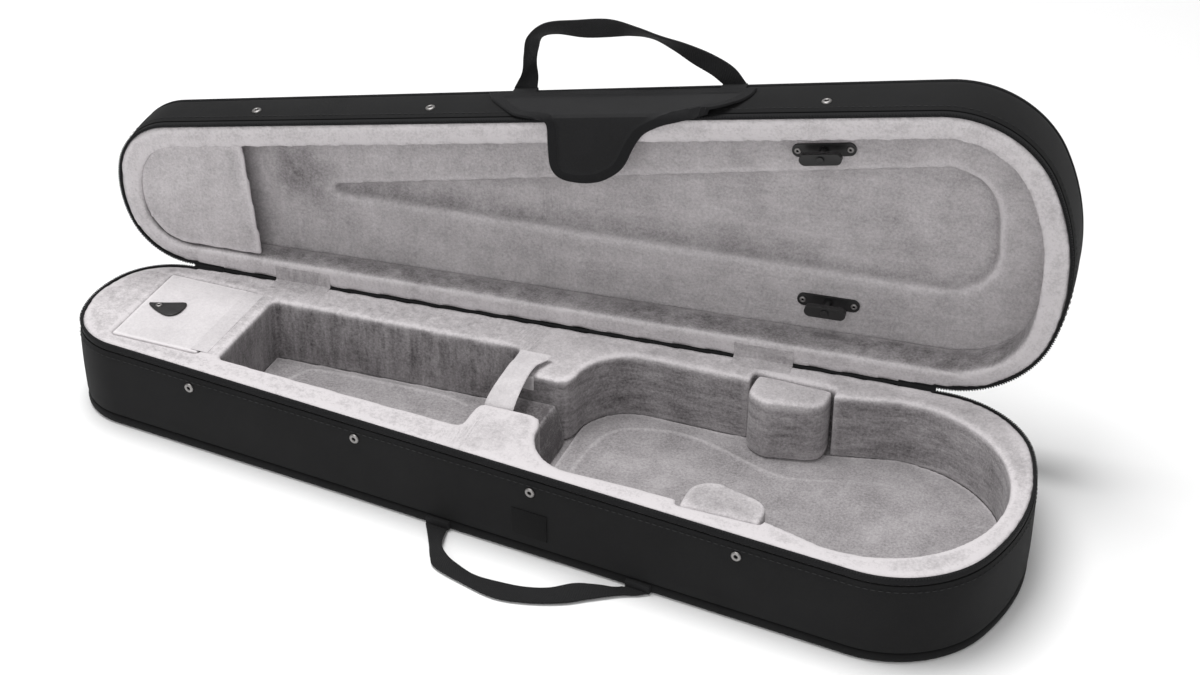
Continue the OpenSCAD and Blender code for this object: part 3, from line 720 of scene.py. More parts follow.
def smooth_route(points, count):
    """Catmull-Rom curve through the points: on each stretch a cubic whose slope at a point is half the
    step between that point's neighbours."""
    k = np.asarray(points, float)
    k = np.concatenate([[2 * k[0] - k[1]], k, [2 * k[-1] - k[-2]]])
    u = np.linspace(0, len(points) - 1, count)
    i = np.minimum(u.astype(int), len(points) - 2)
    t = (u - i)[:, None]
    a, b, c, d = k[i], k[i + 1], k[i + 2], k[i + 3]
    square, cube = 2 * a - 5 * b + 4 * c - d, 3 * b - a - 3 * c + d
    return 0.5 * (2 * b + (c - a) * t + square * t ** 2 + cube * t ** 3)


body_print = smooth_route([(0.038, -0.040), (0.038, -0.013), (0.039, 0.005), (0.042, 0.030), (0.048, 0.045),
                           (0.059, 0.055), (0.077, 0.061), (0.099, 0.064), (0.129, 0.059), (0.151, 0.051),
                           (0.177, 0.042), (0.200, 0.040), (0.235, 0.050), (0.280, 0.062),
                           (0.315, 0.052)], 60)
neck_print = smooth_route([(-0.236, -0.020), (-0.226, 0.012), (-0.219, 0.028), (-0.208, 0.037),
                           (-0.152, 0.041), (-0.097, 0.042), (-0.075, 0.037)], 40)


def printed(route, fade_x):
    """Shape of a pad with a low ridge along a route, fading out past fade_x: the ridge's height is e to the
    power of minus the square of the distance over 1.7 mm. The ridge gets a painted highlight, and soft folds
    toward the body end get painted light on their crests and painted shade in their troughs."""
    def shape(p, normal):
        near = np.exp(-(line_distance(p, route) / 0.0017) ** 2) * (normal[:, 2] > 0.5)
        near = near * np.clip((fade_x - p[:, 0]) / 0.12 + 1, 0.25, 1)
        folds = soft_noise(p * (1, 0.35, 1), 0.016, 9) * np.clip((p[:, 0] - 0.27) / 0.05, 0, 1)
        moved = p + np.array((0, 0, 1)) * (0.0007 * near + 0.0004 * folds * (normal[:, 2] > 0.5))[:, None]
        # painted highlight along the ridge; painted light and shade over the folds
        return moved, 0.42 * near + 0.2 * folds
    return shape


plush_piece("body_floor_cloth", "body_floor_pad", 0.0016, "base", smooth_mat, rounds=2,
            shape=printed(body_print, 0.17), tone=pad_tone(-0.10))
plush_piece("neck_floor_cloth", "neck_floor_pad", 0.0016, "base", smooth_mat, rounds=2,
            shape=printed(neck_print, 0.0), tone=pad_tone(-0.08))
plush_piece("accessory_floor_cloth", "accessory_floor_pad", 0.002, "base", plush_mat,
            rounds=2)
rest_low, rest_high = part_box("neck_rest_pad")


def draw_back(p, normal):
    """The rest's end toward the body well slopes back under the strap, where it takes painted shade."""
    share = np.clip((p[:, 0] - rest_low.x) / (rest_high.x - rest_low.x), 0, 1) ** 3
    rise = np.clip((p[:, 2] - rest_low.z) / (rest_high.z - rest_low.z), 0, 1)
    # painted shade under the strap
    return p - (share * (0.004 + 0.008 * rise ** 2))[:, None] * np.array((1.0, 0, 0)), -0.3 * share


plush_piece("neck_rest", "neck_rest_pad", 0.002, "base", plush_mat, rounds=6, shape=draw_back,
            tone=pad_tone(-0.62))


def block_light_and_shade(p, normal):
    """Painted light: top a little paler than the sides, which take painted shade."""
    up = np.clip(normal[:, 2], 0, 1)
    return 0.20 * up - 0.30 * (1 - up)


def round_plan(low, high, toward):
    """Shape of a block whose end looking into the well is drawn in to a round nose: the width along X
    shrinks by a share of the cube of the way toward that end."""
    middle = (low + high) / 2

    def shape(p, normal):
        way = np.clip(toward * (p[:, 1] - middle.y) / ((high.y - low.y) / 2), 0, 1)
        moved = p.copy()
        moved[:, 0] = middle.x + (p[:, 0] - middle.x) * (1 - 0.32 * way ** 3)
        moved[:, 1] += toward * 0.003 * way * (toward > 0)
        return moved, np.zeros(len(p))
    return shape


for block, toward in (("back", -1), ("front", 1)):
    low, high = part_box(block + "_bout_block")
    plush_piece(block + "_block", block + "_bout_block", 0.002, "base", plush_mat, rounds=10,
                shape=round_plan(low, high, toward), tone=block_light_and_shade)

# ---- Lining tabs ----
# Two short strips of the plush cloth bridge the gap between the two linings at the hinge line, so
# that the halves' linings meet there. They fold with the lid.
tab_l, tab_w, tab_turn = 0.048, 0.013, 0.0006
tab_rows, tab_cols = 25, 30
reach = np.linspace(-tab_w, tab_w, tab_cols)
for number, middle in enumerate((-0.240, 0.152)):
    way = np.linspace(-tab_l / 2, tab_l / 2, tab_rows)
    lay = []
    for lift in (0.00028, -0.00002):
        in_wall = -np.abs(reach) + 0.0004
        level = hinge_at[2] + np.where(reach < 0, -0.0004 + lift, 0.0004 - lift)
        spot = hinge_at + (middle + way)[:, None, None] * wall_along + in_wall[None, :, None] * wall_out
        spot[..., 2] = level[None, :]
        spot += 0.0001 * soft_noise(spot, 0.006, 14)[..., None]
        lay.append(swing(spot, np.broadcast_to(np.clip(reach / 0.0008 + 0.5, 0, 1), spot.shape[:2])))
    grid, faces = two_skins(*lay)
    tab = new_piece(f"lining_tab_{number + 1}", grid, faces, plush_mat, replaces=["lining_tabs"])
    mark(tab, "edge", np.full(grid.size // 3, 0.25))
    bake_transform(tab)

# ---- Accessory lid ----
# A thin board covered in pale plush over the small box at the scroll end. It turns on a strip of the
# same cloth glued over its edge and the partition, and lifts by a half-round leather tab on a rivet.
plush_piece("accessory_lid_board", "accessory_lid", 0.0012, "accessory_lid", pale_mat, rounds=3,
            tone=pad_tone(0.32))
acc_low, acc_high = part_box("accessory_lid")
strip_w = acc_high.y - acc_low.y - 0.004
rows, cols = 60, 15
way, reach = np.linspace(-strip_w / 2, strip_w / 2, rows), np.linspace(-0.0065, 0.0085, cols)
top = acc_high.z + 0.00018 + 0.00022 * (1 - (reach / 0.009) ** 2)
skins = []
for depth in (0.0, 0.0003):
    spot = np.zeros((rows, cols, 3))
    spot[..., 0], spot[..., 1] = acc_high.x + reach, way[:, None]
    spot[..., 2] = top - depth + 0.0001 * soft_noise(spot, 0.007, 15)
    skins.append(spot)
grid, faces = two_skins(*skins)
acc_hinge = new_piece("accessory_hinge_cloth", grid, faces, pale_mat, replaces=["accessory_lid_hinge"])
mark(acc_hinge, "edge", np.full(grid.size // 3, 0.05))
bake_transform(acc_hinge)

# ---- Leather pull ----
# A half-round tab of smooth black leather, 1.6 mm thick with a rubbed edge, that swivels on a domed
# nickel rivet through the accessory lid.
leather_mat, tree, shader = new_material("pull leather", Roughness=0.5, Coat_Weight=0.08,
                                         Specular_IOR_Level=0.4)
place = node(tree, "ShaderNodeTexCoord").outputs["Object"]
grain = node(tree, "ShaderNodeTexVoronoi", {"Vector": place, "Scale": 900.0})
coloured(tree, shader, noise(tree, place, 160.0, 3.0), (0.006, 0.006, 0.006), (0.022, 0.021, 0.021))
bumped(tree, shader, grain.outputs["Distance"], 0.3, 0.0002)


def slab(outline, low, high, round_over, steps=4):
    """Closed grid of a flat piece with a rounded edge, and its faces: the outline is drawn in along its
    normals by round_over times 1 minus cos a, at the middle height plus half the thickness times sin a."""
    outline = np.asarray(outline, float)
    tangent = np.roll(outline, -1, 0) - np.roll(outline, 1, 0)
    normal = np.stack([tangent[:, 1], -tangent[:, 0]], 1)
    normal /= np.linalg.norm(normal, axis=1)[:, None]
    turn = np.linspace(-np.pi / 2, np.pi / 2, 2 * steps + 1)
    middle, half = (low + high) / 2, (high - low) / 2
    draw_in = round_over * (1 - np.cos(turn))
    z = middle + half * np.sin(turn)
    flat = outline[:, None] - normal[:, None] * draw_in[None, :, None]
    grid = np.concatenate([flat, np.broadcast_to(z[None, :, None], flat.shape[:2] + (1,))], 2)
    return grid, drum_faces(*grid.shape[:2])


pull_low, pull_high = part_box("pull_tab")
rivet_low, rivet_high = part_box("pull_rivet")
rivet_at = ((rivet_low.x + rivet_high.x) / 2, (rivet_low.y + rivet_high.y) / 2)
pull_edge = [(-0.3404, 0.0003), (-0.3330, 0.0030), (-0.3260, 0.0057), (-0.3190, 0.0087), (-0.3145, 0.0105),
             (-0.3120, 0.0103), (-0.3104, 0.0075), (-0.3099, 0.0024), (-0.3102, -0.0030), (-0.3120, -0.0080),
             (-0.3160, -0.0110), (-0.3205, -0.0114), (-0.3250, -0.0101), (-0.3310, -0.0075),
             (-0.3365, -0.0043), (-0.3403, -0.0014), (-0.3404, 0.0003)]
outline = smooth_route(pull_edge, 70)[:-1][::-1]
grid, faces = slab(outline, pull_low.z, pull_high.z, 0.0006)
new_piece("leather_pull", grid, faces, leather_mat, "pull_tab", ["pull_tab"])

nickel_mat, tree, shader = new_material("satin nickel", Metallic=1.0)
hazy = noise(tree, node(tree, "ShaderNodeTexCoord").outputs["Object"], 420.0, 3.0)
# the attribute "hollow" paints shade into the rivets' open centres and the screws' sockets
hole_shade = node(tree, "ShaderNodeAttribute", attribute_name="hollow")
bright = weighted(tree, hazy, 0.25, weighted(tree, hole_shade.outputs["Fac"], -1.0, 1.0))
coloured(tree, shader, bright, (0.012, 0.012, 0.012), (0.30, 0.29, 0.285), 0.15, 1.0)
gloss = node(tree, "ShaderNodeMapRange", {"Value": hazy, "To Min": 0.38, "To Max": 0.55})
tree.links.new(gloss.outputs["Result"], shader.inputs["Roughness"])


def lathe(profile, count):
    """Grid of a round piece about Z: each profile point, a radius r and a height, at r cos a and r sin a for
    count angles a."""
    profile = np.asarray(profile, float)
    turn = np.linspace(0, 2 * np.pi, count + 1)[:-1]
    return np.stack([np.outer(np.cos(turn), profile[:, 0]), np.outer(np.sin(turn), profile[:, 0]),
                     np.broadcast_to(profile[:, 1], (count, len(profile)))], -1)


def head_faces(profile, count, copies=1):
    """Faces of lathed heads set one after another, each closed at both ends of its profile."""
    return repeat_faces(drum_faces(count, len(profile)), count * len(profile), copies)


rivet_sides = 32
rivet_profile = np.array([(0.00452, 0), (0.00456, 0.0004), (0.0043, 0.0010), (0.0036, 0.00145),
                          (0.0028, 0.0016), (0.0021, 0.00145), (0.0017, 0.0009), (0.0015, 0.0002),
                          (0.0006, 0.0001)])
rivet_hole_shade = np.array([0, 0, 0, 0, 0, 0, 0.5, 1, 1.0])
small = rivet_profile * (0.6, 0.7)
grid = lathe(small, rivet_sides) + (rivet_at[0], rivet_at[1], pull_high.z - 0.0001)
piece = new_piece("pull_rivet_head", grid, head_faces(small, rivet_sides), nickel_mat, "accessory_lid",
                  ["pull_rivet"], crease=60)
mark(piece, "hollow", np.tile(rivet_hole_shade, rivet_sides))

# ---- Neck strap ----
# A double strap of pale plush across the neck rest. It is sewn to the front cradle's inner face,
# crosses the gap and lies with its free end on the back cradle's top.
strap_low, strap_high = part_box("neck_strap")
strap_route = smooth_route([(-0.0244, 0.0680), (-0.0215, 0.0725), (-0.0140, 0.0765), (-0.0030, 0.0797),
                            (0.0100, 0.0820), (0.0220, 0.0825), (0.0330, 0.0806), (0.0405, 0.0796),
                            (0.0450, 0.0806)], 60)


def ribbon(left, right, thick, crown=0.0):
    """Closed grid of a flat band between two edge lines: points from left to right, raised by half the
    thickness along the surface normal, with rounded edges and a crown across the middle. Returns the grid,
    its faces, its cloth coordinates, and the band's length and mean width."""
    share = np.array([0.0, 0.03, 0.12, 0.3, 0.5, 0.7, 0.88, 0.97, 1.0])
    rise = np.array([0.0, 0.7, 1.0, 1.0, 1.0, 1.0, 1.0, 0.7, 0.0])
    rise = rise * np.broadcast_to(thick, len(left))[:, None] / 2 + crown * np.sin(np.pi * share)
    across = right - left
    along = np.gradient((left + right) / 2, axis=0)
    normal = np.cross(along, across)
    normal /= np.linalg.norm(normal, axis=1)[:, None]
    middle = left[:, None] + across[:, None] * share[None, :, None]
    top = middle + normal[:, None] * rise[..., None]
    low = middle - normal[:, None] * (rise - 2 * crown * np.sin(np.pi * share))[..., None]
    grid = np.concatenate([top, low[:, -2:0:-1]], 1)
    length = np.concatenate([[0], np.cumsum(np.linalg.norm(np.diff((left + right) / 2, axis=0), axis=1))])
    width = float(np.linalg.norm(across, axis=1).mean())
    share_all = np.concatenate([share, share[-2:0:-1]])
    uv = np.stack(np.broadcast_arrays(length[:, None], width * share_all[None, :]), -1)
    return grid, strip_faces(*grid.shape[:2]), uv, float(length[-1]), width


for number, (drop, pull_back, wide) in enumerate(((0.0, 0, 0.0), (0.0021, 7, 0.0012))):
    route = strap_route[:len(strap_route) - pull_back]
    left = np.stack([np.full(len(route), strap_low.x + wide), route[:, 0], route[:, 1] - drop], 1)
    right = np.stack([np.full(len(route), strap_high.x - wide), route[:, 0], route[:, 1] - drop], 1)
    end = np.clip((route[:, 0] - 0.030) / 0.0145, 0, 1)
    waist = np.clip((route[:, 0] + 0.020) / 0.030, 0, 1) * (1 - end)
    left[:, 0] += 0.0022 * waist + 0.0010 * end
    right[:, 0] += 0.0040 * end - 0.0016 * waist
    right[:, 2] += 0.0008 * end ** 2
    grid, faces, uv, length, width = ribbon(left, right, 0.0017 - 0.0004 * number, 0.0003)
    strap = new_piece("neck_strap_" + ("top", "under")[number], grid, faces, pale_mat, "neck_strap",
                      ["neck_strap"], uv)
    # the under strap takes painted shade from the top one; the noise is the plush's uneven tone
    strap_shade_and_mottle = 0.05 - 0.35 * number + 0.25 * soft_noise(grid * (1, 1.6, 1), 0.008, 17)
    mark(strap, "edge", strap_shade_and_mottle)
for source in ("neck_strap_root", "neck_strap_keeper"):
    plush_piece(source + "_cloth", source, 0.0009, "base", pale_mat, rounds=2)

# ---- Handles ----
# Ribbed black webbing folded under at each end and sewn to the shell, one on the base's foot and one
# near the lid's top edge. Both lie in slack loops with a turn in them.
web_mat = woven("webbing", (0.0085, 0.0085, 0.009), (0.020, 0.020, 0.021), 0.0019, 0.00035, fleck=0.35)
stations = 90
web_thick = 0.0022 - 0.0009 * (np.abs(np.linspace(-1, 1, stations)) > 0.965)
base_left = smooth_route([(-0.0500, -0.0951, 0.0016), (-0.0435, -0.1060, 0.0026), (-0.0365, -0.1180, 0.0018),
                          (-0.0290, -0.1320, 0.0014), (-0.0205, -0.1420, 0.0014), (0.0050, -0.1510, 0.0014),
                          (0.0340, -0.1580, 0.0014), (0.0590, -0.1545, 0.0014), (0.0840, -0.1450, 0.0016),
                          (0.1010, -0.1335, 0.0018), (0.1200, -0.1210, 0.0020), (0.1310, -0.1160, 0.0017),
                          (0.1385, -0.1115, 0.0018)], stations)
base_right = smooth_route([(-0.0308, -0.0968, 0.0016), (-0.0290, -0.1060, 0.0040), (-0.0250, -0.1190, 0.0052),
                           (-0.0155, -0.1300, 0.0066), (-0.0050, -0.1365, 0.0066), (0.0130, -0.1415, 0.0040),
                           (0.0340, -0.1400, 0.0022), (0.0520, -0.1385, 0.0024), (0.0690, -0.1345, 0.0040),
                           (0.0850, -0.1245, 0.0056), (0.1000, -0.1185, 0.0042), (0.1110, -0.1140, 0.0018),
                           (0.1193, -0.1099, 0.0018)], stations)
grid, faces, uv, length, width = ribbon(base_left, base_right, web_thick)
handle = new_piece("base_handle_webbing", grid, faces, web_mat, "base_handle", ["base_handle"], uv)

lid_plane = top_z - 0.0037
lid_left = smooth_route([(-0.0500, -0.0951, 0.0), (-0.0465, -0.1010, 0.000), (-0.0410, -0.1110, -0.001),
                         (-0.0385, -0.1250, -0.001), (-0.0345, -0.1400, 0.000), (-0.0190, -0.1530, 0.000),
                         (0.0080, -0.1575, 0.0), (0.0340, -0.1595, 0.0), (0.0560, -0.1545, -0.002),
                         (0.0740, -0.1480, -0.002), (0.0930, -0.1420, 0.0), (0.1130, -0.1340, 0.001),
                         (0.1290, -0.1240, 0.001), (0.1385, -0.1115, 0.0)], stations)
lid_right = smooth_route([(-0.0305, -0.0968, 0.0), (-0.0310, -0.1040, 0.006), (-0.0345, -0.1130, 0.015),
                          (-0.0325, -0.1230, 0.017), (-0.0270, -0.1340, 0.015), (-0.0110, -0.1410, 0.007),
                          (0.0120, -0.1425, 0.0), (0.0320, -0.1440, 0.0), (0.0480, -0.1430, 0.007),
                          (0.0640, -0.1400, 0.010), (0.0810, -0.1330, 0.006), (0.0960, -0.1240, 0.003),
                          (0.1110, -0.1170, 0.0), (0.1193, -0.1099, 0.0)], stations)
lift = np.array((0, 0, lid_plane))
grid, faces, uv, length, width = ribbon(lid_left + lift, lid_right + lift, web_thick)
handle = new_piece("lid_handle_webbing", swing(grid), faces, web_mat, "lid_handle", ["lid_handle"],
                   uv)

# ---- Small fittings ----
# The handles' sewn seats of folded webbing, the flap's patch of hook tape, and the zip's sliders and
# pullers, cast in a dark metal. The black moulded plastic of the bow holders is here too.
plastic_mat, tree, shader = new_material("holder plastic", Roughness=0.42, Specular_IOR_Level=0.45)
place = node(tree, "ShaderNodeTexCoord").outputs["Object"]
coloured(tree, shader, noise(tree, place, 90.0, 2.0), (0.006, 0.006, 0.006), (0.016, 0.016, 0.016))
bumped(tree, shader, noise(tree, place, 1300.0, 2.0), 0.2, 0.0002)

zip_mat, tree, shader = new_material("black zip metal", Metallic=0.6, Roughness=0.45)
worn = noise(tree, node(tree, "ShaderNodeTexCoord").outputs["Object"], 300.0, 3.0)
coloured(tree, shader, worn, (0.004, 0.004, 0.004), (0.022, 0.022, 0.022))


def softened(name, source, width, material, body, steps=3):
    """A copy of the CAD solid with every sharp edge rounded by width."""
    build = bmesh.new()
    build.from_mesh(frame["nodes"][source].data)
    bmesh.ops.remove_doubles(build, verts=build.verts, dist=0.00001)
    bmesh.ops.dissolve_limit(build, angle_limit=math.radians(1), verts=build.verts, edges=build.edges)
    sharp = [e for e in build.edges if len(e.link_faces) == 2 and e.calc_face_angle() > math.radians(40)]
    bmesh.ops.bevel(build, geom=sharp, offset=width, segments=steps, profile=0.5, affect="EDGES",
                    clamp_overlap=True)
    bmesh.ops.triangulate(build, faces=[f for f in build.faces if len(f.verts) > 4])
    mesh = bpy.data.meshes.new(name)
    build.to_mesh(mesh)
    build.free()
    mesh.shade_smooth()
    mesh.set_sharp_from_angle(angle=math.radians(35))
    mesh.materials.append(material)
    as_piece(name, mesh, body, [source])


softened("base_handle_seats", "base_handle_anchors", 0.0006, web_mat, "base")
softened("lid_handle_seats", "lid_handle_anchors", 0.0006, web_mat, "lid")
hook_mat = woven("hook tape", (0.0012, 0.0012, 0.0013), (0.0050, 0.0050, 0.0052), 0.0018, 0.0006)
softened("flap_hook_patch", "hook_patch", 0.0004, hook_mat, "base")
softened("zip_slider_bodies", "zip_sliders", 0.0007, zip_mat, "base")
softened("zip_puller_scroll_end", "zip_puller_scroll", 0.0005, zip_mat, "zip_puller_scroll")
softened("zip_puller_body_end", "zip_puller_body", 0.0005, zip_mat, "zip_puller_body")

# ---- Rivets ----
# Tubular nickel rivets with a rolled edge and an open centre painted dark as shade, set through both
# front walls: four in the base and three in the lid.
front_along = np.array((wall_along[0], -abs(wall_along[1]), 0.0))
front_out = np.array((-abs(wall_along[1]), -wall_along[0], 0.0))
front_from = np.array((0.0, -0.0962933, 0.0))


def on_front(x, out, z):
    """A place on the front wall: x along it, out from its face, z up."""
    x, out, z = (np.asarray(v, float)[..., None] for v in (x, out, z))
    return front_from + x * front_along + out * front_out + z * np.array((0, 0, 1.0))


head = lathe(rivet_profile * (0.88, 1.0), rivet_sides)
for half, place, z, spots in (("base", stay, hinge_at[2] - 0.017, (-0.264, -0.112, 0.040, 0.207)),
                              ("lid", swing, hinge_at[2] + 0.020, (-0.264, -0.112, 0.207))):
    heads = [on_front(x + head[..., 0], head[..., 2] + 0.0006, z + head[..., 1]) for x in spots]
    piece = new_piece(half + "_rivet_heads", place(np.concatenate(heads)),
                      head_faces(rivet_profile, rivet_sides, len(spots)), nickel_mat, half,
                      [half + "_rivets"], crease=60)
    mark(piece, "hollow", np.tile(rivet_hole_shade, rivet_sides * len(spots)))

# ---- Lid top ----
# The lid's outer panel: woven cover over a board, a little uneven where it is stretched, with a corded
# piping sewn in round its edge.
top_rows, cord_rows, cord_cols = 360, 520, 14
top_line = shell_outline(top_rows)
shrink = np.concatenate([np.linspace(1, 0.16, 12), [0.10, 0.05, 0.02, 0.0], [0.0, 0.02, 0.05]])
drop = np.concatenate([np.full(12, 0.0003), [0.0003, 0.0003, 0.0005, 0.0010], [0.0015, 0.0018, 0.0018]])
edge_flat = top_line[0] - 0.0034 * top_line[1]
spine = np.stack([np.clip(edge_flat[:, 0], -0.31, 0.26), np.zeros(top_rows)], 1)
flat = edge_flat[:, None] * (1 - shrink)[None, :, None] + spine[:, None] * shrink[None, :, None]
wave = 0.0004 * plan_noise(flat, 0.05, 41) * (shrink > 0.01) * (drop < 0.0004)
top_skin = np.concatenate([flat, (lid_top(flat[..., 0]) - drop + wave)[..., None]], 2)
cols = len(shrink)
faces = grid_faces(top_rows, cols, True).tolist() + [[i * cols + cols - 1 for i in range(top_rows)]]
top_cover = new_piece("lid_top_cloth", swing(top_skin), faces, cover_mat, "lid", ["lid_top_cover"],
                      flat)
merge_points(top_cover.data, 0.00002)
cord_line = shell_outline(cord_rows)
cord_turn = np.linspace(0, 2 * np.pi, cord_cols + 1)[:-1]
cord_out = -0.0016 + 0.0015 * np.cos(cord_turn)
cord_z = lid_top(cord_line[0][:, 0], 0.0020)[:, None] + 0.0019 * np.sin(cord_turn)[None, :]
cord_uv = np.stack(np.broadcast_arrays(cord_line[2][:, None], (cord_turn * 0.0017)[None, :]), -1)
new_piece("lid_piping_cord", swing(ring(cord_line, cord_out, cord_z)),
          grid_faces(cord_rows, cord_cols, True, True), tape_mat, "lid", ["lid_piping"], cord_uv)

# ---- Closure flap ----
# One piece of woven cloth, sewn under the piping on the lid's front wall. It bends over the rim
# and its tongue hangs inside the open lid. An 8 mm tape binds its edge all round.
flap_edge = smooth_route([(-0.0690, 0.0405), (-0.0630, 0.0300), (-0.0540, 0.0205), (-0.0450, 0.0115),
                          (-0.0360, 0.0040), (-0.0270, 0.0002), (-0.0170, -0.0014), (-0.0105, -0.0036),
                          (-0.0092, -0.0095), (-0.0112, -0.0240), (-0.0126, -0.0400), (-0.0098, -0.0485),
                          (-0.0030, -0.0535), (0.0070, -0.0560), (0.0170, -0.0565), (0.0270, -0.0550),
                          (0.0360, -0.0512), (0.0435, -0.0465), (0.0495, -0.0400), (0.0550, -0.0312),
                          (0.0610, -0.0225), (0.0690, -0.0145), (0.0820, -0.0088), (0.0960, -0.0055),
                          (0.1100, -0.0022), (0.1260, 0.0032), (0.1380, 0.0130), (0.1465, 0.0280),
                          (0.1490, 0.0405)], 240)
hem = np.linspace(flap_edge[-1], flap_edge[0], 90)[1:-1]
flap_edge = np.concatenate([flap_edge, hem])


def edge_distance(p):
    """Distance from each point to the flap's closed edge line."""
    return line_distance(p, np.concatenate([flap_edge, flap_edge[:1]]))


flap_mat = woven("flap cloth", (0.0085, 0.0085, 0.009), (0.020, 0.020, 0.021), 0.0011, 0.00012)
tangent = np.roll(flap_edge, -1, 0) - np.roll(flap_edge, 1, 0)
inward = np.stack([-tangent[:, 1], tangent[:, 0]], 1)
inward /= np.linalg.norm(inward, axis=1)[:, None]
spots = [flap_edge]
for depth in (0.0007, 0.0022, 0.0045, 0.0066, 0.0076, 0.0084):
    ring_points = flap_edge + depth * inward
    spots.append(ring_points[edge_distance(ring_points) > depth - 0.0002])
gx, gy = np.meshgrid(np.arange(-0.070, 0.150, 0.0024), np.arange(-0.056, 0.041, 0.0024))
inner = np.stack([gx.ravel(), gy.ravel()], 1)
spots.append(inner[edge_distance(inner) > 0.0096])
spots = np.concatenate(spots)
count = len(flap_edge)
rim = [(i, (i + 1) % count) for i in range(count)]
made_mesh = geometry.delaunay_2d_cdt([Vector(v) for v in spots], rim, [], 1, 0.00001)
flat = np.array([tuple(v) for v in made_mesh[0]])
faces = [list(f) for f in made_mesh[2]]
fold_r, fold_top = 0.0019, 0.0011


def bend_flap(x, s, level):
    """Wraps the flat cloth over the lid's front rim: s above the bend runs up the wall, s below it runs
    into the lid; between them a quarter circle. level is the height above the cloth's middle."""
    angle = np.clip((fold_top - s) / fold_r, 0, np.pi / 2)
    wall_s, tongue_s = np.maximum(s - fold_top, 0), np.maximum(fold_top - s - fold_r * np.pi / 2, 0)
    out = -0.0001 + (fold_r + level) * np.cos(angle) - tongue_s
    z = hinge_at[2] + fold_top - (fold_r + level) * np.sin(angle) + wall_s
    lifted = np.clip((x - 0.085) / 0.03, 0, 1) * np.clip((0.149 - x) / 0.012, 0, 1)
    lifted = lifted * np.clip(1 - s / 0.034, 0, 1)
    out = out + 0.0042 * lifted * (s > fold_top)
    sag = (tongue_s / 0.055) ** 2
    z = z - 0.0016 * sag + 0.0004 * soft_noise(np.stack([x, s, s * 0], -1), 0.02, 51) * (tongue_s > 0.004)
    return on_front(x, out, z)


reach = edge_distance(flat)
bound = np.clip((0.0083 - reach) / 0.0006, 0, 1)
rounding = np.clip(reach / 0.0009, 0, 1)
ripple = 0.00016 * plan_noise(flat, 0.012, 52)
rounded = np.sqrt(rounding * (2 - rounding))
outer = bend_flap(flat[:, 0], flat[:, 1], 0.0003 + (0.0003 + 0.0009 * bound) * rounded + ripple)
under = bend_flap(flat[:, 0], flat[:, 1], -0.0004 - 0.0004 * bound * rounding)
total = len(flat)
edges = [(a, b) for f in faces for a, b in zip(f, f[1:] + f[:1])]
known = set(edges)
sides = [[a, b, b + total, a + total] for a, b in edges if (b, a) not in known]
every = faces + [[v + total for v in reversed(f)] for f in faces] + sides
flap = new_piece("closure_flap", swing(np.concatenate([outer, under])), every, flap_mat,
                 replaces=["flap_root", "flap_tongue"], uv=np.concatenate([flat, flat]), crease=50)
flap.data.materials.append(tape_mat)
far = np.concatenate([reach, reach])
for face in flap.data.polygons:
    face.material_index = int(np.mean(far[list(face.vertices)]) < 0.0078)
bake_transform(flap)

# ---- Bow holders ----
# Two black plastic holders on the lid's panel: a plate held by two screws, a short post
# and a bar with round ends that turns on it to hold a bow.
softened("bow_holder_plates", "holder_plates", 0.0006, plastic_mat, "lid")
softened("bow_holder_posts", "holder_posts", 0.0003, plastic_mat, "lid")
softened("bow_spinner_upper", "spinner_upper", 0.0015, plastic_mat, "spinner_upper", 4)
softened("bow_spinner_lower", "spinner_lower", 0.0015, plastic_mat, "spinner_lower", 4)
screw_profile = np.array([(0.0026, 0), (0.0027, 0.0003), (0.0024, 0.0009), (0.0016, 0.0011), (0.0011, 0.0010),
                          (0.0009, 0.0005), (0.0002, 0.0004)])
screw_socket_shade = np.array([0, 0, 0, 0, 0.4, 1, 1.0])
screw_sides, screw_spread = 24, 0.0205
lid_tilt = math.atan2(lid_rise, case_l)
lean = np.array(Matrix.Rotation(-lid_tilt, 3, "Y")).T
heads = []
for x, y, turn in ((0.200, -0.067, math.radians(-5)), (0.1985, 0.0705, math.radians(5))):
    for end in (-screw_spread, screw_spread):
        grid = lathe(screw_profile, screw_sides) * (1, 1, -1) + (end, 0, -0.0017)
        spun = grid @ np.array(Matrix.Rotation(turn, 3, "Z")).T @ lean
        heads.append(spun + (x, y, 0.1062 + x * math.tan(lid_tilt) - 0.00005))
piece = new_piece("bow_holder_screw_heads", swing(np.concatenate(heads)),
                  head_faces(screw_profile, screw_sides, len(heads)), nickel_mat, "lid", ["holder_screws"],
                  crease=60)
mark(piece, "hollow", np.tile(screw_socket_shade, screw_sides * len(heads)))

# ---- Lid lining ----
# Grey plush over the lid's foam: a wall round the inside, a padded top panel with a fan-shaped
# recess pressed in it, and a flat panel across the scroll end that the bow tips slip behind.
swing_axis = swing(hinge_at + (0, 0, 1.0)) - hinge_at
lid_across = swing(hinge_at + wall_out) - hinge_at


def lid_light_and_shade(p, normal):
    """Painted light and shade: a painted highlight on the rim, mid grey down the inner wall, and a painted
    shadow with a ragged edge where the wall beside the hinge looks up under the lid's top wall.
    """
    facing = np.clip(-(normal @ swing_axis), 0, 1) ** 2
    shadowed_wall = np.clip(-(normal @ lid_across), 0, 1) * (1 - facing)
    ragged = 0.15 * soft_noise(p, 0.02, 61) + 0.25 * soft_noise(p, 0.006, 62)
    # painted highlight on the rim; painted shadow with a ragged edge on the wall beside the hinge
    return 0.60 * facing + 0.05 * (1 - facing) - (0.42 + ragged) * shadowed_wall * (p[:, 2] < 0.14)


def as_closed(p):
    """Points of the open lid brought back to where they lie with the lid shut."""
    v = p - hinge_at
    return hinge_at + (v @ hinge_axis)[:, None] * hinge_axis + (v @ lid_across)[:, None] * wall_out \
        + (v @ swing_axis)[:, None] * np.array((0, 0, 1.0))


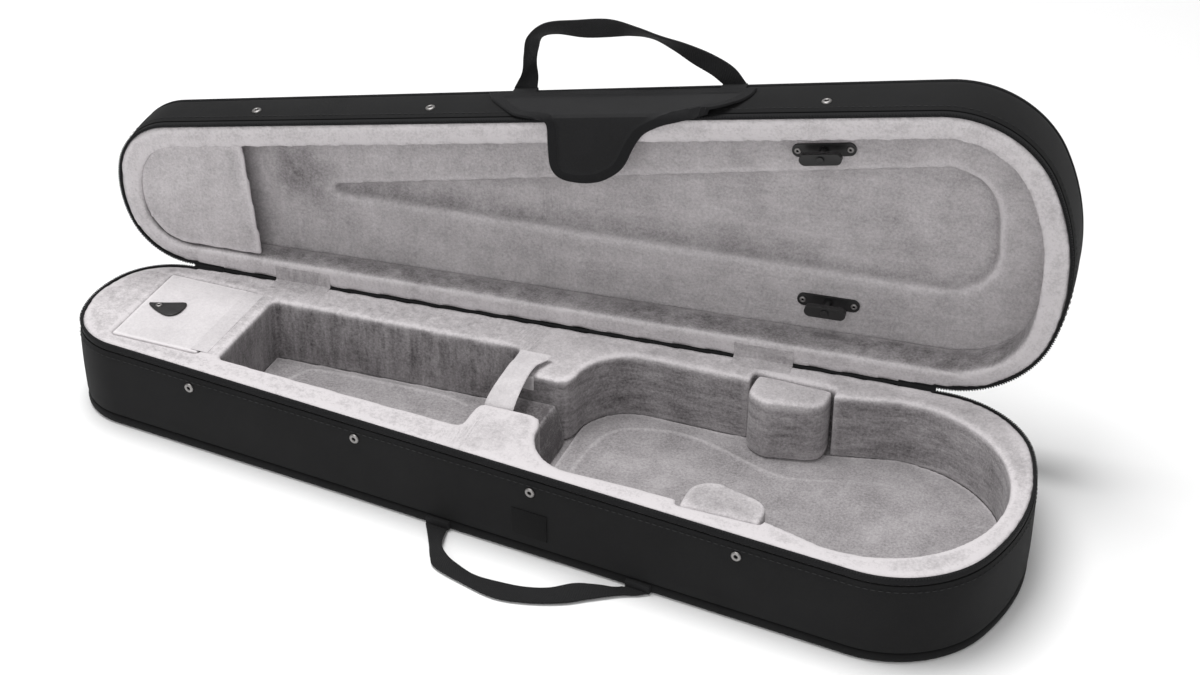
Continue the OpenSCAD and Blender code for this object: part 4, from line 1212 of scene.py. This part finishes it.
def lid_to_hinge_line(p, normal):
    """The lid's plush spread over its rim as the base's is, and its inner wall drawn 5 mm further in along
    the front and the body end."""
    closed = as_closed(p)
    behind = (p[:, 0] > hinge_side_low) & (p[:, 0] < hinge_side_high) & (closed[:, 1] > 0)
    moved, weight, rows, side = spread_rim(closed - (0, 0, lid_rim_z), behind)
    moved[:, 2] += lid_rim_z
    moved[rows, 2] -= 0.00025 * weight * side
    out, plan_normal = outward(closed)
    inner = np.clip((-out - 0.0125) / 0.003, 0, 1) * np.clip((0.03 + out) / 0.004, 0, 1)
    inner = inner * np.clip(0.5 - closed[:, 1] / 0.06 + np.clip((closed[:, 0] - 0.25) / 0.08, 0, 1), 0, 1)
    moved[:, :2] -= (0.005 * inner)[:, None] * plan_normal
    v = moved - hinge_at
    return hinge_at + (v @ hinge_axis)[:, None] * hinge_axis + (v @ wall_out)[:, None] * lid_across \
        + v[:, 2:] * swing_axis, np.zeros(len(p))


fan_edge = [(-0.214, -0.002), (0.0, -0.024), (0.296, -0.053), (0.318, -0.050), (0.332, -0.036),
            (0.3345, -0.016), (0.3345, 0.012), (0.332, 0.032), (0.318, 0.046), (0.296, 0.049)]


def panel_smudge_and_light(p, normal):
    """Even grey, with a worn dark patch below the narrow end, a painted highlight down the recess's edge and
    a band of painted shade inside the recess along its lower edge.
    """
    place = as_closed(p)[:, :2]
    x, y = place[:, 0], place[:, 1]
    smudge = np.exp(-((x + 0.234) / 0.021) ** 2 - ((y + 0.016) / 0.027) ** 2)
    # painted highlight along the recess's edge
    pale = np.exp(-(line_distance(place, fan_edge) / 0.0022) ** 2)
    # painted shade inside the recess along its lower edge
    shaded = np.exp(-(line_distance(place, [(-0.19, -0.004), (0.19, 0.029)]) / 0.009) ** 2)
    return 0.38 + 0.28 * pale - 0.85 * smudge * (1 + 0.5 * soft_noise(p, 0.008, 63)) - 0.22 * shaded


plush_piece("lid_wall_lining", "lid_wall_foam", 0.0024, "lid", smooth_mat, tone=lid_light_and_shade,
            shape=lid_to_hinge_line)
plush_piece("lid_panel_lining", "lid_panel_foam", 0.0024, "lid", smooth_mat, rounds=7,
            tone=panel_smudge_and_light)
plush_piece("bow_tip_cover", "lid_pocket_panel", 0.002, "lid", smooth_mat,
            tone=pad_tone(0.50))

low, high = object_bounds()
